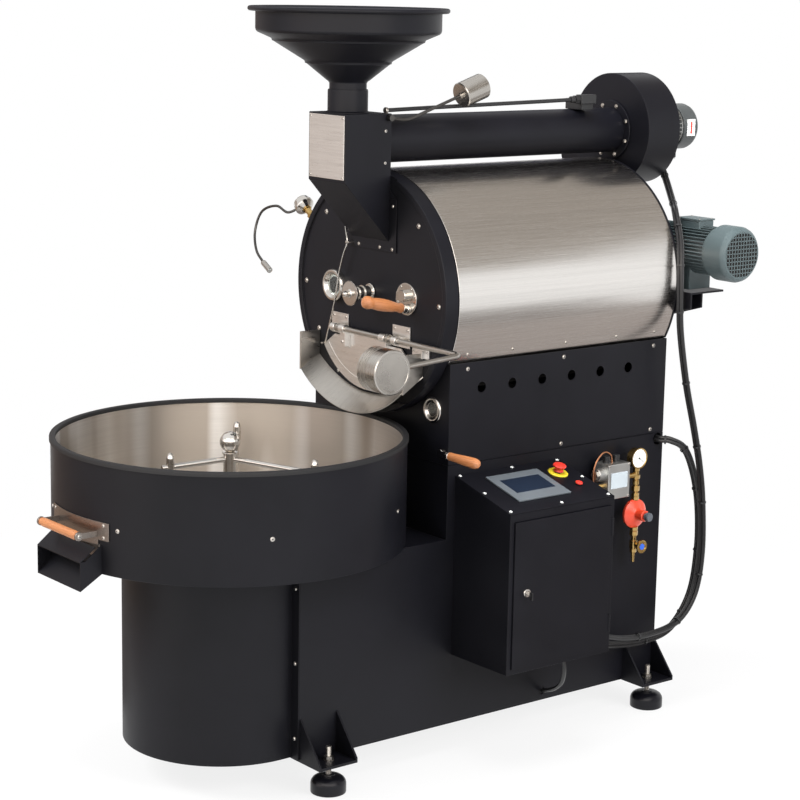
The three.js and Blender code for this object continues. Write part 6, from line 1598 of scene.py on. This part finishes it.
def floor_finish():
    """Pale floor that shows nearly white, whiter with distance, and keeps the shadows."""
    material, tree, shader, place = surface("pale_floor", (0.86, 0.86, 0.86), 0.8)
    glow = node(tree, "Emission", 0, Color=WHITE, Strength=1.0)
    away = maths(tree, "VectorMath", "LENGTH", "Value", place)
    whiteness = node(tree, "MapRange", "Result", Value=away, From_Min=1.2, From_Max=2.6, To_Min=0.84, To_Max=1.0)
    share = maths(tree, "Math", "MULTIPLY", 0, seen_directly(tree), whiteness)
    mix_shaders(tree, share, shader.outputs[0], glow, tree.nodes["Material Output"].inputs["Surface"])
    return material


# Cards that only metal and paint mirror, as round a studio table: each a strip through a row of edges
CARDS = [
    ("high_card", [((5200, 1500, 3150), (5200, 5200, 3150)), ((4600, 1500, 3700), (4600, 5200, 3700)),
                   ((2000, 1300, 4300), (2000, 5000, 4300)), ((-1500, 1300, 3900), (-1500, 5000, 3900))],
     (0.36, 0.325, 0.29)),
    ("low_card", [((560, 500, 6), (560, 3600, 6)), ((3300, 500, 6), (3300, 3600, 6))], (0.4, 0.36, 0.34)),
    ("side_card", [((1700, 300, 430), (1700, 1950, 430)), ((1700, 300, 900), (1700, 1950, 900))],
     (0.3, 0.28, 0.27)),
    ("front_low_card", [((-3500, -4600, 700), (-3500, -500, 700)), ((-3500, -4600, 20), (-3500, -500, 20)),
                        ((-600, -4600, 10), (-600, -1300, 10))], (0.42, 0.31, 0.24)),
    ("front_high_card", [((-3500, -4600, 3000), (-3500, -500, 3000)), ((-3500, -4600, 700), (-3500, -500, 700))],
     (0.55, 0.48, 0.44)),
    ("left_card", [((-3500, -500, 1500), (-3500, 1300, 1500)), ((-3500, -500, 4600), (-3500, 1300, 4600))],
     (0.38, 0.31, 0.27)),
    ("left_low_card", [((-3500, -1000, 8), (-3500, 2400, 8)), ((-600, -1000, 8), (-600, 2400, 8))],
     (0.3, 0.27, 0.26)),
    ("back_card", [((-3500, 1300, 2150), (-3500, 4800, 2150)), ((-3500, 1300, 4200), (-3500, 4800, 4200))],
     (0.03, 0.03, 0.045)),
    ("front_glow", [((-2200, -6000, 3600), (1000, -6000, 3600)), ((-2200, -6000, 30), (1000, -6000, 30))],
     (2.3, 2.05, 1.95)),
    ("tray_glow", [((500, -4200, 1500), (500, -4200, 4500)), ((3300, -2900, 1500), (3300, -2900, 4500)),
                   ((4300, -1200, 1500), (4300, -1200, 4500)), ((4300, 700, 1500), (4300, 700, 4500))],
     (3.4, 3.2, 3.0)),
]


def card(name, edges, colour):
    """A bent grey card through a row of edges, seen only in reflections."""
    shape = bmesh.new()
    rows = [[shape.verts.new(corner) for corner in edge] for edge in edges]
    for before, after in zip(rows, rows[1:]):
        shape.faces.new((*before, *reversed(after)))
    shape.transform(TO_ROW)
    mesh = mesh_of(shape, name)
    material = bpy.data.materials.new(name)
    material.use_nodes = True
    tree = material.node_tree
    glow = node(tree, "Emission", 0, Color=(*colour, 1))
    tree.links.new(glow, tree.nodes["Material Output"].inputs["Surface"])
    mesh.materials.append(material)
    holder = linked(name, mesh)
    holder.visible_camera = False
    holder.visible_diffuse = False
    holder.visible_shadow = False
    holder.visible_transmission = False


# Add-on

def tone(name, description, *default):
    """A colour of the panel."""
    return bpy.props.FloatVectorProperty(name=name, description=description, subtype="COLOR", size=3, min=0, max=1,
                                         default=default)


def length(name, description, low, high, default):
    """A size of the panel, in metres."""
    return bpy.props.FloatProperty(name=name, description=description, unit="LENGTH", min=low, max=high,
                                   default=default)


def power(name, description, default):
    """The power of a light, in watts."""
    return bpy.props.FloatProperty(name=name, description=description, unit="POWER", min=0, max=2000, default=default)


class RoasterColours(bpy.types.PropertyGroup):
    """Colours and gloss of the roaster's finishes."""

    body_paint: tone("Body paint", "Colour of the painted housings", 0.0055, 0.0055, 0.008)
    paint_roughness: bpy.props.FloatProperty(
        name="Paint roughness", description="Gloss of the painted housings", subtype="FACTOR", min=0.1, max=1,
        default=0.42)
    steel: tone("Sheet steel", "Colour of the brushed steel", 0.8, 0.775, 0.745)
    worn_steel: tone("Worn steel", "Colour of the chute and the counterweights", 0.5, 0.475, 0.44)
    bright_steel: tone("Bright steel", "Colour of turned steel fittings", 0.68, 0.65, 0.61)
    brass: tone("Brass", "Colour of the brass fittings", 0.62, 0.42, 0.16)
    motor_paint: tone("Motor paint", "Colour of the drum motor and gearbox", 0.07, 0.095, 0.1)
    stop_red: tone("Stop red", "Colour of the red buttons", 0.75, 0.045, 0.03)
    wood_light: tone("Light wood", "Colour between the growth rings of the handles", 0.45, 0.175, 0.065)
    wood_dark: tone("Dark wood", "Colour of the growth rings of the handles", 0.3, 0.1, 0.035)


class RoasterSizes(bpy.types.PropertyGroup):
    """Sizes of rods, leads, screws and broken edges."""

    hinge_rod: length("Hinge rod", "Radius of the discharge door's rod", 0.004, 0.008, 0.008)
    probe_wire: length("Probe wire", "Radius of the wire on the front plate", 0.001, 0.004, 0.0024)
    lead: length("Lead", "Radius of each cable in a lead", 0.003, 0.008, 0.0063)
    panel_screw: length("Panel screw", "Radius of the screw heads on the housings", 0.003, 0.009, 0.005)
    broken_edge: length("Broken edge", "Width of the rounded edges of the housings", 0.0004, 0.003, 0.0012)


class RoasterStage(bpy.types.PropertyGroup):
    """Strength of the studio's lights."""

    ambient: bpy.props.FloatProperty(
        name="Ambient", description="Strength of the light from all round", min=0, max=3, default=0.45)
    key_power: power("Key light", "Power of the large light at the front left", 320)
    side_power: power("Side light", "Power of the light on the cabinet's side", 200)
    top_power: power("Top light", "Power of the light above", 200)


class ROASTER_OT_stage(bpy.types.Operator):
    """Sets up the camera, the lights and the floor"""
    bl_idname = "roaster.stage"
    bl_label = "Stage"

    def execute(self, context):
        build_stage()
        return {"FINISHED"}


class ROASTER_OT_base(bpy.types.Operator):
    """Finishes the base frame, the lower housing and the cover under the tray"""
    bl_idname = "roaster.base"
    bl_label = "Base"

    def execute(self, context):
        build_base()
        return {"FINISHED"}


class ROASTER_OT_feet(bpy.types.Operator):
    """Makes the levelling feet"""
    bl_idname = "roaster.feet"
    bl_label = "Levelling feet"

    def execute(self, context):
        build_feet()
        return {"FINISHED"}


class ROASTER_OT_housing(bpy.types.Operator):
    """Makes the vented housing and the drum's steel jacket"""
    bl_idname = "roaster.housing"
    bl_label = "Housing and jacket"

    def execute(self, context):
        build_housing()
        return {"FINISHED"}


class ROASTER_OT_inside(bpy.types.Operator):
    """Finishes the roasting drum"""
    bl_idname = "roaster.inside"
    bl_label = "Roasting drum"

    def execute(self, context):
        build_inside()
        return {"FINISHED"}


class ROASTER_OT_face(bpy.types.Operator):
    """Makes the front plate"""
    bl_idname = "roaster.face"
    bl_label = "Front plate"

    def execute(self, context):
        build_face()
        return {"FINISHED"}


class ROASTER_OT_fittings(bpy.types.Operator):
    """Makes the fittings of the front plate"""
    bl_idname = "roaster.fittings"
    bl_label = "Front fittings"

    def execute(self, context):
        build_fittings()
        build_probe()
        return {"FINISHED"}


class ROASTER_OT_door(bpy.types.Operator):
    """Makes the discharge door with its rod and counterweight"""
    bl_idname = "roaster.door"
    bl_label = "Discharge door"

    def execute(self, context):
        build_door()
        return {"FINISHED"}


class ROASTER_OT_chute(bpy.types.Operator):
    """Makes the chute under the discharge door"""
    bl_idname = "roaster.chute"
    bl_label = "Chute"

    def execute(self, context):
        build_chute()
        return {"FINISHED"}


class ROASTER_OT_hopper(bpy.types.Operator):
    """Makes the feed hopper, its neck box and gate"""
    bl_idname = "roaster.hopper"
    bl_label = "Hopper"

    def execute(self, context):
        build_hopper()
        return {"FINISHED"}


class ROASTER_OT_exhaust(bpy.types.Operator):
    """Makes the exhaust pipe, the fan and the conduit"""
    bl_idname = "roaster.exhaust"
    bl_label = "Exhaust"

    def execute(self, context):
        build_exhaust()
        return {"FINISHED"}


class ROASTER_OT_drive(bpy.types.Operator):
    """Makes the drum's gearbox and motor"""
    bl_idname = "roaster.drive"
    bl_label = "Drum drive"

    def execute(self, context):
        build_drive()
        return {"FINISHED"}


class ROASTER_OT_tray(bpy.types.Operator):
    """Makes the cooling tray and its gate"""
    bl_idname = "roaster.tray"
    bl_label = "Cooling tray"

    def execute(self, context):
        build_tray()
        build_tray_gate()
        return {"FINISHED"}


class ROASTER_OT_stirrer(bpy.types.Operator):
    """Makes the tray's stirrer"""
    bl_idname = "roaster.stirrer"
    bl_label = "Stirrer"

    def execute(self, context):
        build_stirrer()
        return {"FINISHED"}


class ROASTER_OT_cabinet(bpy.types.Operator):
    """Makes the control cabinet, its panel, screen and buttons"""
    bl_idname = "roaster.cabinet"
    bl_label = "Control cabinet"

    def execute(self, context):
        build_cabinet()
        return {"FINISHED"}


class ROASTER_OT_gas(bpy.types.Operator):
    """Makes the gas train"""
    bl_idname = "roaster.gas"
    bl_label = "Gas train"

    def execute(self, context):
        build_gas()
        return {"FINISHED"}


class ROASTER_OT_lamp(bpy.types.Operator):
    """Makes the work lamp and the air lever"""
    bl_idname = "roaster.lamp"
    bl_label = "Lamp and air lever"

    def execute(self, context):
        build_lamp()
        build_air_lever()
        return {"FINISHED"}


class ROASTER_OT_leads(bpy.types.Operator):
    """Makes the leads between the housings"""
    bl_idname = "roaster.leads"
    bl_label = "Leads"

    def execute(self, context):
        build_leads()
        return {"FINISHED"}


OPERATORS = (
    ROASTER_OT_stage, ROASTER_OT_base, ROASTER_OT_feet, ROASTER_OT_housing, ROASTER_OT_inside, ROASTER_OT_face,
    ROASTER_OT_fittings, ROASTER_OT_door, ROASTER_OT_chute, ROASTER_OT_hopper, ROASTER_OT_exhaust, ROASTER_OT_drive,
    ROASTER_OT_tray, ROASTER_OT_stirrer, ROASTER_OT_cabinet, ROASTER_OT_gas, ROASTER_OT_lamp, ROASTER_OT_leads,
)


class ROASTER_PT_panel(bpy.types.Panel):
    """Colours of the roaster and the buttons that make its pieces"""
    bl_idname = "ROASTER_PT_panel"
    bl_label = "Coffee roaster"
    bl_space_type = "VIEW_3D"
    bl_region_type = "UI"
    bl_category = "Roaster"

    def draw(self, context):
        scene = context.scene
        for group in (scene.roaster_sizes, scene.roaster_colours, scene.roaster_stage):
            for name in group.__annotations__:
                self.layout.prop(group, name)
        for operator in OPERATORS:
            self.layout.operator(operator.bl_idname)


CLASSES = (RoasterSizes, RoasterColours, RoasterStage, *OPERATORS, ROASTER_PT_panel)


def register():
    for item in CLASSES:
        bpy.utils.register_class(item)
    bpy.types.Scene.roaster_sizes = bpy.props.PointerProperty(type=RoasterSizes)
    bpy.types.Scene.roaster_colours = bpy.props.PointerProperty(type=RoasterColours)
    bpy.types.Scene.roaster_stage = bpy.props.PointerProperty(type=RoasterStage)


def unregister():
    del bpy.types.Scene.roaster_stage
    del bpy.types.Scene.roaster_colours
    del bpy.types.Scene.roaster_sizes
    for item in reversed(CLASSES):
        bpy.utils.unregister_class(item)


def main():
    register()
    for operator in OPERATORS:
        family, name = operator.bl_idname.split(".")
        getattr(getattr(bpy.ops, family), name)()


if __name__ == "__main__":
    main()
